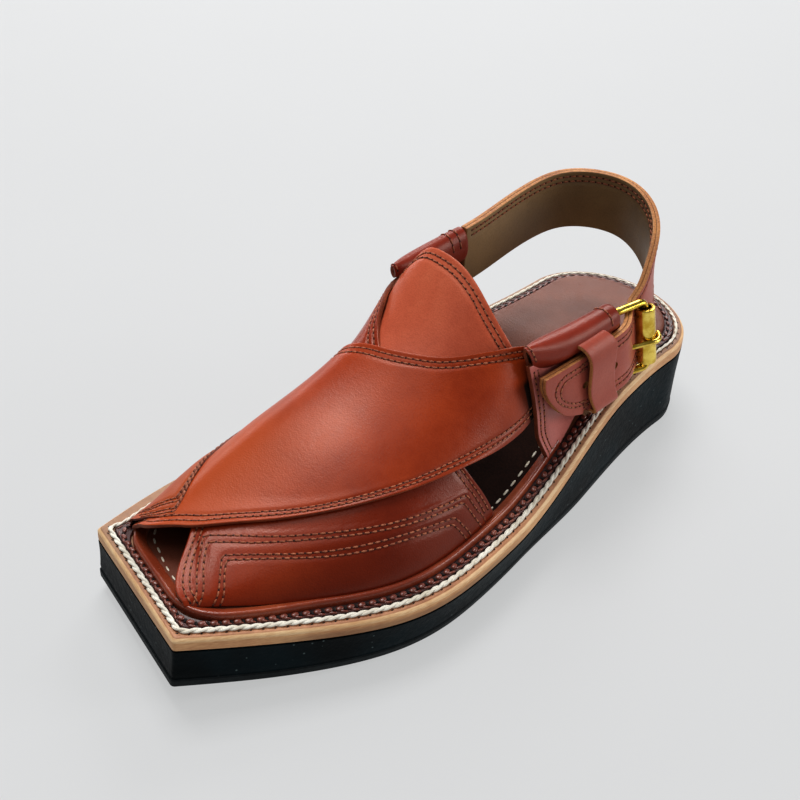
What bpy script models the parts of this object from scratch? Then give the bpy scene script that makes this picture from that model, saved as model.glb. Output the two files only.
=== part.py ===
"""Left kaptan chappal: an open-toed leather sandal with two crossed bands and a buckled heel strap.

Lengths below are millimetres and are scaled to metres when a mesh is made.
+X points to the toe, +Y to the wearer's left (the outer side of a left shoe), +Z up.
The floor is z = 0 and the origin is under the middle of the sole.
"""
import math

import bmesh
import bpy
import numpy as np
from mathutils import Matrix

MM = 0.001
GAP = 0.3                    # running gap between pieces that touch
SHIFT_X = 0.63               # moves the middle of the finished sandal over the origin
SHIFT_Y = -0.30

# ---- sole: plan outline and heights ---------------------------------------------------
# One row for each station from the widest part of the heel to the toe.
OUTLINE_ROWS = (
    # x,   outer y, inner y
    (-117.0, 39.5, -39.5),
    (-61.0, 46.2, -43.5),
    (-16.0, 54.5, -49.5),
    (29.0, 60.3, -56.3),
    (69.0, 57.8, -60.2),
    (109.0, 38.5, -57.8),
)
TOE_OUTER = (148.0, 14.0)    # the two corners of the slanting front edge
TOE_INNER = (129.5, -54.0)
HEEL_DEPTH = 33.0            # from the widest part of the heel to its back
BALL_RUBBER = 17.4           # rubber under the ball of the foot, tread included
HEEL_RUBBER = 35.0           # rubber under the heel, tread included
RAMP_BACK = -79.0            # the wedge rises from RAMP_FRONT back to RAMP_BACK
RAMP_FRONT = 9.0
SPRING_START = 37.0          # toe spring begins just in front of the ball
TOE_SPRING = 8.8
HEEL_LIFT_START = -126.0     # the back edge of the heel is eased off the floor
HEEL_LIFT = 4.0
TREAD = 3.6                  # tread sheet under the wedge
WELT = 6.0                   # leather welt board
WELT_BEVEL = 1.6
TAPER = 1.0                  # the rubber draws in by this much at the floor,
WAIST_TAPER = 3.4            # and by this much beside the ball and the waist
STRIP = 1.9                  # stitched strip that lies on the welt
STRIP_OUTER = 5.2            # distances in from the edge of the sole
STRIP_INNER = 9.0
LIP_INSET = 11.3
TOE_EASE = 1.9               # strip, lip and insole lie this much nearer the edge at the toe
TOE_EASE_START = 98.0
TOE_EASE_END = 126.0
LIP_RADIUS = 1.95
LIP_END = -32.0              # the rolled lip ends under the two quarters
INSOLE = 1.9
INSOLE_INSET_FRONT = 13.55
INSOLE_INSET_HEEL = 9.4

# ---- last: the form that the bands are pulled over ------------------------------------
# Height of the ridge over the insole, and how far it leans to the inner side,
# as a share of the half width.
LAST_ROWS = (
    # x,  height, lean
    (-61.0, 92.0, 0.30),
    (-41.0, 85.0, 0.38),
    (-21.0, 76.0, 0.46),
    (-1.0, 61.5, 0.47),
    (19.0, 48.5, 0.44),
    (39.0, 39.5, 0.41),
    (59.0, 33.0, 0.38),
    (79.0, 25.0, 0.36),
    (99.0, 16.5, 0.32),
    (114.0, 10.5, 0.25),
    (131.0, 5.0, 0.20),
)
LAST_INSET = 15.8            # foot line of the last, in from the edge of the sole
FLANK_PULL = 4.2             # the inner flank is this much flatter at its fullest
SIDE_FULLNESS = 0.90         # exponents of the cross-section
CROWN_FULLNESS = 0.85

# ---- upper ----------------------------------------------------------------------------
WALL = 2.2
TONGUE_WALL = 1.8
# Bands on the last. Each row gives the front and the back edge as a station and an angle
# round the section, from the outer foot line (0) over the ridge to the inner one (180),
# and how far the band's inner face stands off the last.
UNDER_BAND_ROWS = (
    # front x, angle, back x, angle, rise; outer toe foot to inner quarter
    (130.0, 1.0, 11.0, 1.0, 0.0),
    (130.5, 35.0, 16.0, 13.0, 0.0),
    (125.5, 66.0, 19.5, 24.0, 0.0),
    (112.0, 88.0, 22.0, 40.0, 0.0),
    (99.0, 104.0, 23.0, 58.0, 0.0),
    (84.0, 120.0, 21.0, 74.0, 0.0),
    (64.0, 132.0, 16.0, 88.0, 0.0),
    (41.0, 142.0, 10.5, 97.0, 0.0),
    (19.0, 150.0, 4.0, 107.0, 0.3),
    (-1.0, 156.0, -4.0, 117.0, 1.0),
    (-16.0, 160.0, -12.0, 127.0, 1.8),
    (-31.0, 163.0, -27.0, 137.0, 2.2),
)
OVER_BAND_ROWS = (
    # front x, angle, back x, angle, rise; inner toe foot to outer quarter
    (117.5, 179.0, 35.0, 179.0, 0.0),
    (119.5, 147.0, 27.0, 150.0, 1.0),
    (120.0, 117.0, 19.5, 128.0, 1.6),
    (114.7, 91.0, 17.5, 110.0, 1.6),
    (102.0, 71.0, 14.0, 89.0, 1.6),
    (89.0, 57.5, 10.0, 76.0, 1.6),
    (71.0, 47.0, 4.5, 65.0, 1.6),
    (49.0, 37.5, -2.0, 56.5, 1.6),
    (29.0, 30.0, -8.5, 49.7, 1.6),
    (9.0, 22.5, -14.5, 44.0, 1.0),
    (-14.0, 14.0, -21.0, 38.5, 0.0),
    (-31.0, 9.0, -33.0, 34.0, -0.8),
)
TONGUE_ROWS = (
    # angle, root x, tip x
    (34.0, 19.0, -17.5),
    (46.0, 33.0, -19.0),
    (60.0, 35.0, -19.3),
    (77.0, 35.0, -20.8),
    (92.0, 35.0, -21.6),
    (104.0, 35.0, -22.0),
    (114.0, 35.0, -20.5),
    (122.0, 33.0, -15.0),
    (130.0, 25.0, -5.0),
)
# Quarters: the outside face of each, from its foot up into the rolled chape.
QUARTER_FOOT = 41.0          # height that the first row stands for; the foot follows the insole
OUTER_QUARTER_ROWS = (
    # front x, y, back x, y, z
    (-27.0, 38.7, -61.0, 34.4, 41.0),
    (-23.5, 39.0, -70.0, 37.0, 50.0),
    (-22.5, 37.4, -72.0, 36.6, 60.0),
    (-22.0, 34.6, -72.0, 35.6, 70.0),
    (-22.0, 31.8, -69.5, 34.6, 78.0),
)
INNER_QUARTER_ROWS = (
    (-22.0, -34.4, -54.0, -30.4, 41.0),
    (-21.0, -37.5, -54.0, -35.0, 50.0),
    (-18.0, -38.8, -54.0, -36.4, 65.0),
    (-15.0, -38.6, -54.0, -36.6, 78.0),
    (-13.0, -37.0, -53.0, -36.0, 87.0),
)
OUTER_ROLL_ROWS = (
    # x, y, z of its middle, half thickness, half height
    (-21.0, 31.4, 78.5, 6.6, 6.8),
    (-46.0, 33.2, 78.3, 6.2, 6.4),
    (-70.5, 33.8, 78.0, 5.6, 5.8),
)
INNER_ROLL_ROWS = (
    (-12.0, -36.0, 88.6, 4.8, 6.4),
    (-33.0, -36.2, 88.6, 5.0, 7.6),
    (-54.0, -35.4, 88.6, 4.8, 8.4),
)

# ---- heel strap, keeper and buckle ----------------------------------------------------
STRAP_WIDTH = 28.0
STRAP_WALL = 3.4
STRAP_ROWS = (
    # middle of the strap from the inner quarter round the heel to its free tip,
    # and the angle by which its upper edge leans in over the foot
    # x,     y,     z,    lean
    (-54.6, -34.2, 83.2, 0.0),
    (-65.0, -34.6, 83.4, 0.0),
    (-78.0, -34.8, 84.8, 0.0),
    (-99.0, -33.6, 88.0, 0.0),
    (-113.0, -28.8, 90.4, 0.0),
    (-123.0, -18.0, 91.4, 0.0),
    (-128.0, -3.0, 90.4, 0.0),
    (-125.0, 10.0, 87.4, 0.0),
    (-117.5, 20.0, 82.4, 2.0),
    (-108.5, 26.5, 75.2, 6.0),
    (-100.0, 30.8, 67.6, 10.0),
    (-92.0, 33.6, 62.9, 12.0),
    (-84.5, 37.0, 61.6, 10.0),
    (-76.5, 40.8, 61.0, 7.0),
    (-62.0, 41.6, 60.4, 5.0),
    (-42.0, 41.2, 60.2, 5.0),
    (-21.0, 40.6, 60.0, 6.0),
)
TIP_ROWS = (
    # share of the width from the lower edge to the upper one, cut back from the tip
    (0.0, 16.0),
    (0.25, 10.5),
    (0.46, 5.6),
    (0.70, 1.4),
    (0.90, 0.0),
    (1.0, 2.0),
)
TIP_REACH = 30.0             # the cut is taken up over this length of strap
KEEPER_WALL = 1.8
KEEPER_ROWS = (
    # inner face, from the outer roll down to the foot of the quarter
    # front x, back x, y, z
    (-41.0, -60.0, 39.4, 81.6),
    (-42.5, -61.0, 42.2, 76.6),
    (-45.2, -61.4, 43.8, 68.0),
    (-46.2, -62.2, 44.5, 58.0),
    (-48.6, -64.2, 45.3, 50.0),
    (-50.6, -65.8, 45.4, 46.6),
    (-51.6, -66.8, 43.6, 45.4),
    (-52.0, -67.2, 41.0, 45.3),
    (-52.0, -67.2, 37.6, 45.3),
)
BAR_RADIUS = 1.4
ROLLER_RADIUS = 3.6
ROLLER_BORE = 2.0
ROLLER_LENGTH = 26.0
BAR_LOW = (-75.0, 35.6, 45.5)          # the bar held by the quarter
BAR_HIGH = (-74.0, 32.3, 78.0)
ROLLER_LOW = (-94.8, 42.4, 45.6)       # the side that carries the roller
ROLLER_HIGH = (-94.2, 36.6, 78.6)
FRAME_CORNER = 3.0
CHAPE_RADIUS = 3.7           # leather folded round the bar, above and below the prong
CHAPE_BORE = 1.8
CHAPE_SPANS = ((0.12, 0.42), (0.58, 0.88))    # shares of the bar, from its lower end
PRONG_RADIUS = 1.1
PRONG_RING = 3.0
PRONG_HEIGHT = 60.4
PRONG_SLOT = (-82.0, 12.4, 4.4)        # x of its middle, length, height

# ---- small tools ----------------------------------------------------------------------
def smooth_step(low, high, value):
    """0 at low and before, 1 at high and after."""
    t = np.clip((np.asarray(value, float) - low) / (high - low), 0.0, 1.0)
    return t * t * (3.0 - 2.0 * t)


def spline(knots, values, start_slope=None):
    """Cubic curve through rows of a table, with natural ends or a given first slope."""
    x = np.asarray(knots, float)
    y = np.asarray(values, float)
    step = np.diff(x)
    rise = np.diff(y) / step
    count = len(x)
    matrix = np.zeros((count, count))
    right = np.zeros(count)
    for i in range(1, count - 1):
        matrix[i, i - 1:i + 2] = (step[i - 1], 2 * (step[i - 1] + step[i]), step[i])
        right[i] = 6 * (rise[i] - rise[i - 1])
    matrix[0, 0] = matrix[-1, -1] = 1.0
    if start_slope is not None:
        matrix[0, :2] = (2 * step[0], step[0])
        right[0] = 6 * (rise[0] - start_slope)
    bend = np.linalg.solve(matrix, right)

    def curve(at):
        at = np.asarray(at, float)
        i = np.clip(np.searchsorted(x, at) - 1, 0, count - 2)
        a = (x[i + 1] - at) / step[i]
        b = 1.0 - a
        return a * y[i] + b * y[i + 1] + ((a ** 3 - a) * bend[i] + (b ** 3 - b) * bend[i + 1]) * step[i] ** 2 / 6
    return curve


def column_curves(rows, count):
    """Smooth curves through the columns of a table, read at count even steps of its rows."""
    table = np.asarray(rows, float)
    steps = np.arange(len(table))
    at = np.linspace(0, len(table) - 1, count)
    return np.stack([spline(steps, column)(at) for column in table.T], axis=1)


def resample(points, count):
    """count points at even distances along an open polyline."""
    points = np.asarray(points, float)
    length = np.concatenate([[0.0], np.cumsum(np.linalg.norm(np.diff(points, axis=0), axis=1))])
    at = np.linspace(0.0, length[-1], count)
    return np.stack([np.interp(at, length, column) for column in points.T], axis=1)


def smooth_line(rows, count):
    """Smooth line through table rows, read at count even steps of its length."""
    table = np.asarray(rows, float)
    hop = np.linalg.norm(np.diff(table[:, :3], axis=0), axis=1)
    length = np.concatenate([[0.0], np.cumsum(hop)])
    at = np.linspace(0.0, length[-1], count)
    return np.stack([spline(length, column)(at) for column in table.T], axis=1)


def trim(points, start, stop):
    """The stretch of a polyline between two distances from its beginning."""
    points = np.asarray(points, float)
    length = np.concatenate([[0.0], np.cumsum(np.linalg.norm(np.diff(points, axis=0), axis=1))])
    inside = (length > start) & (length < stop)
    at = np.concatenate([[start], length[inside], [stop]])
    return np.stack([np.interp(at, length, column) for column in points.T], axis=1)


# ---- the sole's functions ---------------------------------------------------------------
OUTLINE = np.array(OUTLINE_ROWS)
outer_side = spline([*OUTLINE[:, 0], TOE_OUTER[0]], [*OUTLINE[:, 1], TOE_OUTER[1]], 0.0)
inner_side = spline([*OUTLINE[:, 0], TOE_INNER[0]], [*OUTLINE[:, 2], TOE_INNER[1]], 0.0)


def slope(curve, x):
    return (curve(x + 0.05) - curve(x - 0.05)) / 0.1


def toe_spring(x):
    return TOE_SPRING * np.clip((x - SPRING_START) / (TOE_OUTER[0] - SPRING_START), 0.0, None) ** 2


def sole_bottom(x):
    lift = np.clip((HEEL_LIFT_START - x) / (HEEL_LIFT_START + 150.0), 0.0, None)
    return toe_spring(x) + HEEL_LIFT * lift ** 2


def wedge_top(x):
    ramp = smooth_step(RAMP_FRONT, RAMP_BACK, x)
    return toe_spring(x) + BALL_RUBBER + (HEEL_RUBBER - BALL_RUBBER) * ramp


def welt_bottom(x):
    return wedge_top(x) + GAP


def welt_top(x):
    return welt_bottom(x) + WELT


def insole_top(x):
    return welt_top(x) + GAP + INSOLE


def foot_line(x):
    """Height at which the upper stands on the insole."""
    return insole_top(x) + GAP


def toe_ease(x):
    return TOE_EASE * smooth_step(TOE_EASE_START, TOE_EASE_END, x)


def insole_inset(x):
    blend = smooth_step(-76.0, -46.0, x)
    return INSOLE_INSET_HEEL + (INSOLE_INSET_FRONT - INSOLE_INSET_HEEL) * blend - toe_ease(x)


def lip_inset(x):
    return LIP_INSET - toe_ease(x)


def strip_inset(x):
    return STRIP_INNER - toe_ease(x)


# ---- plan rings -----------------------------------------------------------------------
HEEL_STEPS = 9
SIDE_STEPS = 34
CORNER_STEPS = 5
FRONT_STEPS = 5
HALF_STEPS = HEEL_STEPS + SIDE_STEPS + CORNER_STEPS + FRONT_STEPS
RING_COUNT = 2 * HALF_STEPS


def side_to_corner(curve, hand, inset):
    """Line at a distance in from the outline, from the back of the heel to the front corner."""
    turn = np.linspace(0.0, math.pi / 2, 25)
    middle = OUTLINE[0, 0]
    half = abs(float(curve(middle)))
    arc = np.stack([middle - HEEL_DEPTH * np.cos(turn), hand * half * np.sin(turn)], axis=1)
    inward = np.stack([np.cos(turn) / HEEL_DEPTH, -hand * np.sin(turn) / half], axis=1)
    x = np.linspace(middle, TOE_OUTER[0] + 2.0, 240)[1:]
    rise = slope(curve, x)
    arc = np.concatenate([arc, np.stack([x, curve(x)], axis=1)])
    inward = np.concatenate([inward, np.stack([hand * rise, -hand * np.ones_like(x)], axis=1)])
    inward /= np.linalg.norm(inward, axis=1)[:, None]
    line = arc + inward * np.asarray(inset(arc[:, 0]))[:, None]
    front = np.array(TOE_INNER) - np.array(TOE_OUTER)
    back = np.array([front[1], -front[0]]) / np.linalg.norm(front)
    depth = (line - np.array(TOE_OUTER)) @ back - float(inset(np.array(TOE_OUTER[0])))
    stop = int(np.argmax(depth < 0.0))
    share = depth[stop - 1] / (depth[stop - 1] - depth[stop])
    corner = line[stop - 1] + share * (line[stop] - line[stop - 1])
    return np.concatenate([line[:stop], corner[None]])


def plan_ring(inset, corner=4.0):
    """Closed ring inside the outline: point 0 at the back of the heel, up the outer side,
    point RING_COUNT / 2 at the middle of the toe edge, and back down the inner side."""
    if not callable(inset):
        width = float(inset)
        inset = lambda x: np.full(np.shape(x), width)
    sides = [side_to_corner(outer_side, 1.0, inset), side_to_corner(inner_side, -1.0, inset)]
    middle = (sides[0][-1] + sides[1][-1]) / 2
    runs = []
    for side in sides:
        length = np.linalg.norm(np.diff(side, axis=0), axis=1).sum()
        runs.append(trim(side, 0.0, length - corner))
    heel_end = OUTLINE[0, 0]
    shared_end = (runs[0][-1, 0] + runs[1][-1, 0]) / 2
    share = np.linspace(0.0, 1.0, SIDE_STEPS + 1)
    halves = []
    for side, run in zip(sides, runs):
        heel = run[run[:, 0] < heel_end]
        level = np.interp(heel_end, run[:, 0], run[:, 1])
        heel = np.concatenate([heel, [[heel_end, level]]])
        x = heel_end + (shared_end - heel_end) * share
        x = x + (run[-1, 0] - shared_end) * smooth_step(0.62, 1.0, share)
        along_side = np.stack([x, np.interp(x, run[:, 0], run[:, 1])], axis=1)
        across = middle - side[-1]
        leave = side[-1] + across / np.linalg.norm(across) * corner
        t = np.linspace(0.0, 1.0, 13)[:, None]
        bend = (1 - t) ** 2 * run[-1] + 2 * t * (1 - t) * side[-1] + t ** 2 * leave
        half = np.concatenate([
            resample(heel, HEEL_STEPS + 1)[:-1],
            along_side[:-1],
            resample(bend, CORNER_STEPS + 1)[:-1],
            resample(np.stack([leave, middle]), FRONT_STEPS + 1),
        ])
        halves.append(half)
    return np.concatenate([halves[0], halves[1][-2:0:-1]])


def rubber_taper(x):
    waist = smooth_step(-50.0, 0.0, x) * smooth_step(125.0, 60.0, x)
    return TAPER + (WAIST_TAPER - TAPER) * waist


def raised_ring(ring, height):
    """Plan ring lifted to a height that depends on x; the toe face stays square to the sole."""
    x = ring[:, 0]
    z = height(x)
    reach = TOE_OUTER[0] - SPRING_START
    tilt = 2.0 * TOE_SPRING * np.clip((x - SPRING_START) / reach, 0.0, None) / reach
    forward = tilt * np.clip(wedge_top(x) - z, 0.0, None)
    return np.stack([x + forward, ring[:, 1], z], axis=1)


# ---- the last -------------------------------------------------------------------------
LAST = np.array(LAST_ROWS)
ridge_height = spline(LAST[:, 0], LAST[:, 1])
ridge_lean = spline(LAST[:, 0], LAST[:, 2])


def last_form(x, angle):
    outer = outer_side(x) - LAST_INSET * np.sqrt(1.0 + slope(outer_side, x) ** 2)
    inner = inner_side(x) + LAST_INSET * np.sqrt(1.0 + slope(inner_side, x) ** 2)
    half = (outer - inner) / 2
    turn = np.radians(angle)
    across = np.sign(np.cos(turn)) * np.abs(np.cos(turn)) ** SIDE_FULLNESS
    up = np.abs(np.sin(turn))
    y = (outer + inner) / 2 + half * (across - 0.9 * ridge_lean(x) * up ** 1.5)
    flank = smooth_step(94.0, 128.0, angle) * smooth_step(180.0, 148.0, angle)
    y = y + FLANK_PULL * flank * smooth_step(-14.0, 20.0, x) * smooth_step(134.0, 116.0, x)
    z = foot_line(x) + ridge_height(x) * up ** CROWN_FULLNESS
    return np.stack([x + 0.0 * y, y, z], axis=-1)


def last_point(x, angle, rise=0.0):
    """Point on the last, lifted off it along its outward normal."""
    x = np.asarray(x, float)
    angle = np.asarray(angle, float)
    held = np.clip(angle, 4.0, 176.0)
    along = last_form(x + 0.1, held) - last_form(x - 0.1, held)
    round_it = last_form(x, held + 0.2) - last_form(x, held - 0.2)
    normal = np.cross(round_it, along)
    normal /= np.linalg.norm(normal, axis=-1)[..., None]
    return last_form(x, angle) + normal * np.asarray(rise, float)[..., None]


# ---- grids of the bent sheets ---------------------------------------------------------
def band_grid(rows, count, across):
    """Inner face of a band on the last."""
    table = column_curves(rows, count)
    share = np.linspace(0.0, 1.0, across)[None, :]
    x = table[:, 0:1] * (1 - share) + table[:, 2:3] * share
    angle = table[:, 1:2] * (1 - share) + table[:, 3:4] * share
    return last_point(x, angle, table[:, 4:5] + 0.0 * share)


def tongue_grid(count, across):
    table = column_curves(TONGUE_ROWS, count)
    share = np.linspace(0.0, 1.0, across)[None, :]
    x = table[:, 1:2] * (1 - share) + table[:, 2:3] * share
    return last_point(x, table[:, 0:1] + 0.0 * share, 0.0 * x - 1.5 * GAP)


def quarter_grid(rows, count, across):
    """Outer face of a quarter; its foot follows the insole."""
    table = column_curves(rows, count)
    share = np.linspace(0.0, 1.0, across)[None, :]
    x = table[:, 0:1] * (1 - share) + table[:, 2:3] * share
    y = table[:, 1:2] * (1 - share) + table[:, 3:4] * share
    top = table[-1, 4]
    left = (top - table[:, 4:5]) / (top - QUARTER_FOOT)
    z = table[:, 4:5] + left * (foot_line(x) - QUARTER_FOOT)
    return np.stack([x, y, z], axis=-1)


def strap_frame(count):
    """Middle line of the heel strap, with its length so far, width and thickness directions."""
    table = smooth_line(STRAP_ROWS, count)
    middle = table[:, :3]
    ahead = np.gradient(middle, axis=0)
    ahead /= np.linalg.norm(ahead, axis=1)[:, None]
    rise = np.array([0.0, 0.0, 1.0]) - ahead[:, 2:3] * ahead
    rise /= np.linalg.norm(rise, axis=1)[:, None]
    out = np.cross(rise, ahead)
    lean = np.radians(table[:, 3:4])
    width = rise * np.cos(lean) - out * np.sin(lean)
    face = out * np.cos(lean) + rise * np.sin(lean)
    return middle, ahead, width, face


def strap_grid(count, across):
    """Middle face of the heel strap, with its tip cut on a slant."""
    middle, ahead, width, face = strap_frame(6 * count)
    hop = np.linalg.norm(np.diff(middle, axis=0), axis=1)
    length = np.concatenate([[0.0], np.cumsum(hop)])
    share = np.linspace(0.0, 1.0, across)
    tip = np.array(TIP_ROWS)
    cut = spline(tip[:, 0], tip[:, 1])(share)
    station = np.linspace(0.0, length[-1], count)[:, None]
    station = station - cut * smooth_step(length[-1] - TIP_REACH, length[-1], station)
    centre = np.stack([np.interp(station, length, column) for column in middle.T], axis=-1)
    side = np.stack([np.interp(station, length, column) for column in width.T], axis=-1)
    return centre + side * ((share - 0.5) * STRAP_WIDTH)[None, :, None]


def keeper_grid(count, across):
    """Inner face of the keeper."""
    table = column_curves(KEEPER_ROWS, count)
    share = np.linspace(0.0, 1.0, across)[None, :]
    x = table[:, 0:1] * (1 - share) + table[:, 1:2] * share
    return np.stack([x, table[:, 2:3] + 0.0 * x, table[:, 3:4] + 0.0 * x], axis=-1)


# ---- Blender side ---------------------------------------------------------------------
for old in list(bpy.data.objects):
    bpy.data.objects.remove(old, do_unlink=True)

PARTS = bpy.data.collections.new("kaptan_chappal")
CUTTERS = bpy.data.collections.new("cutters")
for group in (PARTS, CUTTERS):
    bpy.context.scene.collection.children.link(group)


def material(name, colour, roughness, metallic=0.0):
    made = bpy.data.materials.new(name)
    made.use_nodes = True
    shader = made.node_tree.nodes["Principled BSDF"]
    shader.inputs["Base Color"].default_value = (*colour, 1.0)
    shader.inputs["Roughness"].default_value = roughness
    shader.inputs["Metallic"].default_value = metallic
    made.diffuse_color = (*colour, 1.0)
    return made


def to_object(name, points, faces, group=PARTS, smooth=True):
    """Closed or open mesh from points in millimetres, with its faces turned outward."""
    mesh = bpy.data.meshes.new(name)
    flat = np.asarray(points, float).reshape(-1, 3) * MM
    mesh.from_pydata(flat.tolist(), [], faces)
    work = bmesh.new()
    work.from_mesh(mesh)
    bmesh.ops.remove_doubles(work, verts=work.verts[:], dist=1e-6)
    bmesh.ops.recalc_face_normals(work, faces=work.faces[:])
    work.to_mesh(mesh)
    work.free()
    for face in mesh.polygons:
        face.use_smooth = smooth
    made = bpy.data.objects.new(name, mesh)
    group.objects.link(made)
    if group is CUTTERS:
        made.hide_render = True
        made.display_type = "WIRE"
    return made


def quads_between(first, second, count, closed=True):
    """Faces that join two runs of points, given the index each run starts at."""
    last = count if closed else count - 1
    faces = []
    for i in range(last):
        j = (i + 1) % count
        faces.append((first + i, first + j, second + j, second + i))
    return faces


def ladder_cap(start):
    """Faces across a plan ring, each rung joining a point to its fellow on the other side."""
    half = RING_COUNT // 2
    faces = [(start, start + 1, start + RING_COUNT - 1)]
    for i in range(1, half - 1):
        faces.append((start + i, start + i + 1, start + RING_COUNT - i - 1, start + RING_COUNT - i))
    faces.append((start + half - 1, start + half, start + half + 1))
    return faces


def slab(name, rings):
    """Solid between plan rings stacked upward."""
    faces = ladder_cap(0) + ladder_cap((len(rings) - 1) * RING_COUNT)
    for i in range(len(rings) - 1):
        faces += quads_between(i * RING_COUNT, (i + 1) * RING_COUNT, RING_COUNT)
    return to_object(name, np.concatenate(rings), faces)


def band_ring(name, rings):
    """Solid ring: plan rings taken in order round its cross-section."""
    faces = []
    for i in range(len(rings)):
        faces += quads_between(i * RING_COUNT, (i + 1) % len(rings) * RING_COUNT, RING_COUNT)
    return to_object(name, np.concatenate(rings), faces)


def sheet(name, inner, wall, group=PARTS, away=1.0, middle=False):
    """Leather sheet: an open grid given real thickness by Solidify, then made a plain mesh."""
    rows, across = inner.shape[:2]
    faces = []
    for i in range(rows - 1):
        faces += quads_between(i * across, (i + 1) * across, across, closed=False)
    made = to_object(name, inner, faces, group)
    normal = np.array(made.data.polygons[len(faces) // 2].normal)
    centre = np.array(made.data.polygons[len(faces) // 2].center)
    outward = np.array([0.0, centre[1], centre[2] - 0.05])
    if np.dot(normal, outward) * away < 0.0:
        made.data.flip_normals()
    thick = made.modifiers.new("thickness", "SOLIDIFY")
    thick.thickness = wall * MM
    thick.offset = 0.0 if middle else 1.0
    thick.use_even_offset = True
    thick.use_rim = True
    return plain(made)


def plain(made):
    """Replace an object's modifiers or curve by the mesh they give."""
    group = made.users_collection[0]
    graph = bpy.context.evaluated_depsgraph_get()
    mesh = bpy.data.meshes.new_from_object(made.evaluated_get(graph))
    name = made.name
    hidden = made.hide_render
    bpy.data.objects.remove(made, do_unlink=True)
    mesh.name = name
    work = bmesh.new()
    work.from_mesh(mesh)
    bmesh.ops.remove_doubles(work, verts=work.verts[:], dist=1e-6)
    bmesh.ops.triangulate(work, faces=work.faces[:])
    bmesh.ops.recalc_face_normals(work, faces=work.faces[:])
    work.to_mesh(mesh)
    work.free()
    for face in mesh.polygons:
        face.use_smooth = True
    fresh = bpy.data.objects.new(name, mesh)
    group.objects.link(fresh)
    if hidden:
        fresh.hide_render = True
        fresh.display_type = "WIRE"
    return fresh


def tube(name, points, radius, closed=False, group=PARTS):
    """Round bar along a line."""
    curve = bpy.data.curves.new(name, "CURVE")
    curve.dimensions = "3D"
    curve.bevel_depth = radius * MM
    curve.bevel_resolution = 2
    curve.use_fill_caps = not closed
    line = curve.splines.new("POLY")
    line.points.add(len(points) - 1)
    for spot, at in zip(line.points, np.asarray(points, float) * MM):
        spot.co = (*at, 1.0)
    line.use_cyclic_u = closed
    made = bpy.data.objects.new(name, curve)
    group.objects.link(made)
    if group is CUTTERS:
        made.hide_render = True
    return plain(made)


def oval_bar(name, rows, sides=14, count=7):
    """Solid bar of oval section along X."""
    table = column_curves(rows, count)
    turn = np.arange(sides) * 2.0 * math.pi / sides
    points = []
    for x, y, z, thick, high in table:
        points.append(np.stack([x + 0.0 * turn, y + thick * np.cos(turn), z + high * np.sin(turn)], axis=1))
    faces = []
    for i in range(count - 1):
        faces += quads_between(i * sides, (i + 1) * sides, sides)
    faces.append(tuple(range(sides)))
    faces.append(tuple(range((count - 1) * sides, count * sides)))
    return to_object(name, np.concatenate(points), faces, CUTTERS)


def frame_across(low, high):
    """Two directions square to the line between two points."""
    axis = np.array(high) - np.array(low)
    axis /= np.linalg.norm(axis)
    side = np.cross(axis, (1.0, 0.0, 0.0))
    side /= np.linalg.norm(side)
    return side, np.cross(axis, side)


def pipe(name, low, high, radius, bore=0.0, sides=24, group=PARTS):
    """Straight cylinder between two points, bored through if a bore is given."""
    side, other = frame_across(low, high)
    turn = (np.arange(sides) * 2.0 * math.pi / sides)[:, None]
    ring = side * np.cos(turn) + other * np.sin(turn)
    ends = [np.array(low, float), np.array(high, float)]
    faces = []
    if bore:
        points = [ends[0] + ring * radius, ends[1] + ring * radius, ends[1] + ring * bore, ends[0] + ring * bore]
        for i in range(4):
            faces += quads_between(i * sides, (i + 1) % 4 * sides, sides)
    else:
        points = [ends[0] + ring * radius, ends[1] + ring * radius]
        faces = quads_between(0, sides, sides)
        faces.append(tuple(range(sides)))
        faces.append(tuple(range(sides, 2 * sides)))
    return to_object(name, np.concatenate(points), faces, group)


def box(name, middle, size, group=CUTTERS):
    """Upright box."""
    corners = np.array([(i, j, k) for i in (-0.5, 0.5) for j in (-0.5, 0.5) for k in (-0.5, 0.5)])
    faces = [(0, 1, 3, 2), (4, 5, 7, 6), (0, 1, 5, 4), (2, 3, 7, 6), (0, 2, 6, 4), (1, 3, 7, 5)]
    return to_object(name, np.array(middle) + corners * np.array(size), faces, group, smooth=False)


def cut_or_join(target, tool, operation):
    step = target.modifiers.new(operation.lower() + "_" + tool.name, "BOOLEAN")
    step.operation = operation
    step.solver = "EXACT"
    step.object = tool


def rounded_corner(before, corner, after, radius, steps=4):
    """Points of a corner bend."""
    corner = np.array(corner, float)
    start = corner + (np.array(before) - corner) / np.linalg.norm(np.array(before) - corner) * radius
    stop = corner + (np.array(after) - corner) / np.linalg.norm(np.array(after) - corner) * radius
    t = np.linspace(0.0, 1.0, steps)[:, None]
    return (1 - t) ** 2 * start + 2 * t * (1 - t) * corner + t ** 2 * stop


def along(low, high, share):
    return np.array(low) + (np.array(high) - np.array(low)) * share


# ---- materials ------------------------------------------------------------------------
RUBBER = material("rubber", (0.02, 0.025, 0.03), 0.75)
WELT_LEATHER = material("welt_leather", (0.45, 0.28, 0.17), 0.6)
MAROON = material("maroon_leather", (0.19, 0.05, 0.035), 0.45)
INSOLE_LEATHER = material("insole_leather", (0.2, 0.085, 0.06), 0.5)
TAN = material("tan_leather", (0.42, 0.12, 0.04), 0.35)
LINED = material("lined_leather", (0.36, 0.12, 0.05), 0.5)
BRASS = material("brass", (0.75, 0.55, 0.12), 0.25, 1.0)

# ---- sole -----------------------------------------------------------------------------
edge = plan_ring(0.0)
low_edge = plan_ring(rubber_taper)


def tread_top(x):
    return sole_bottom(x) + TREAD


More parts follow.
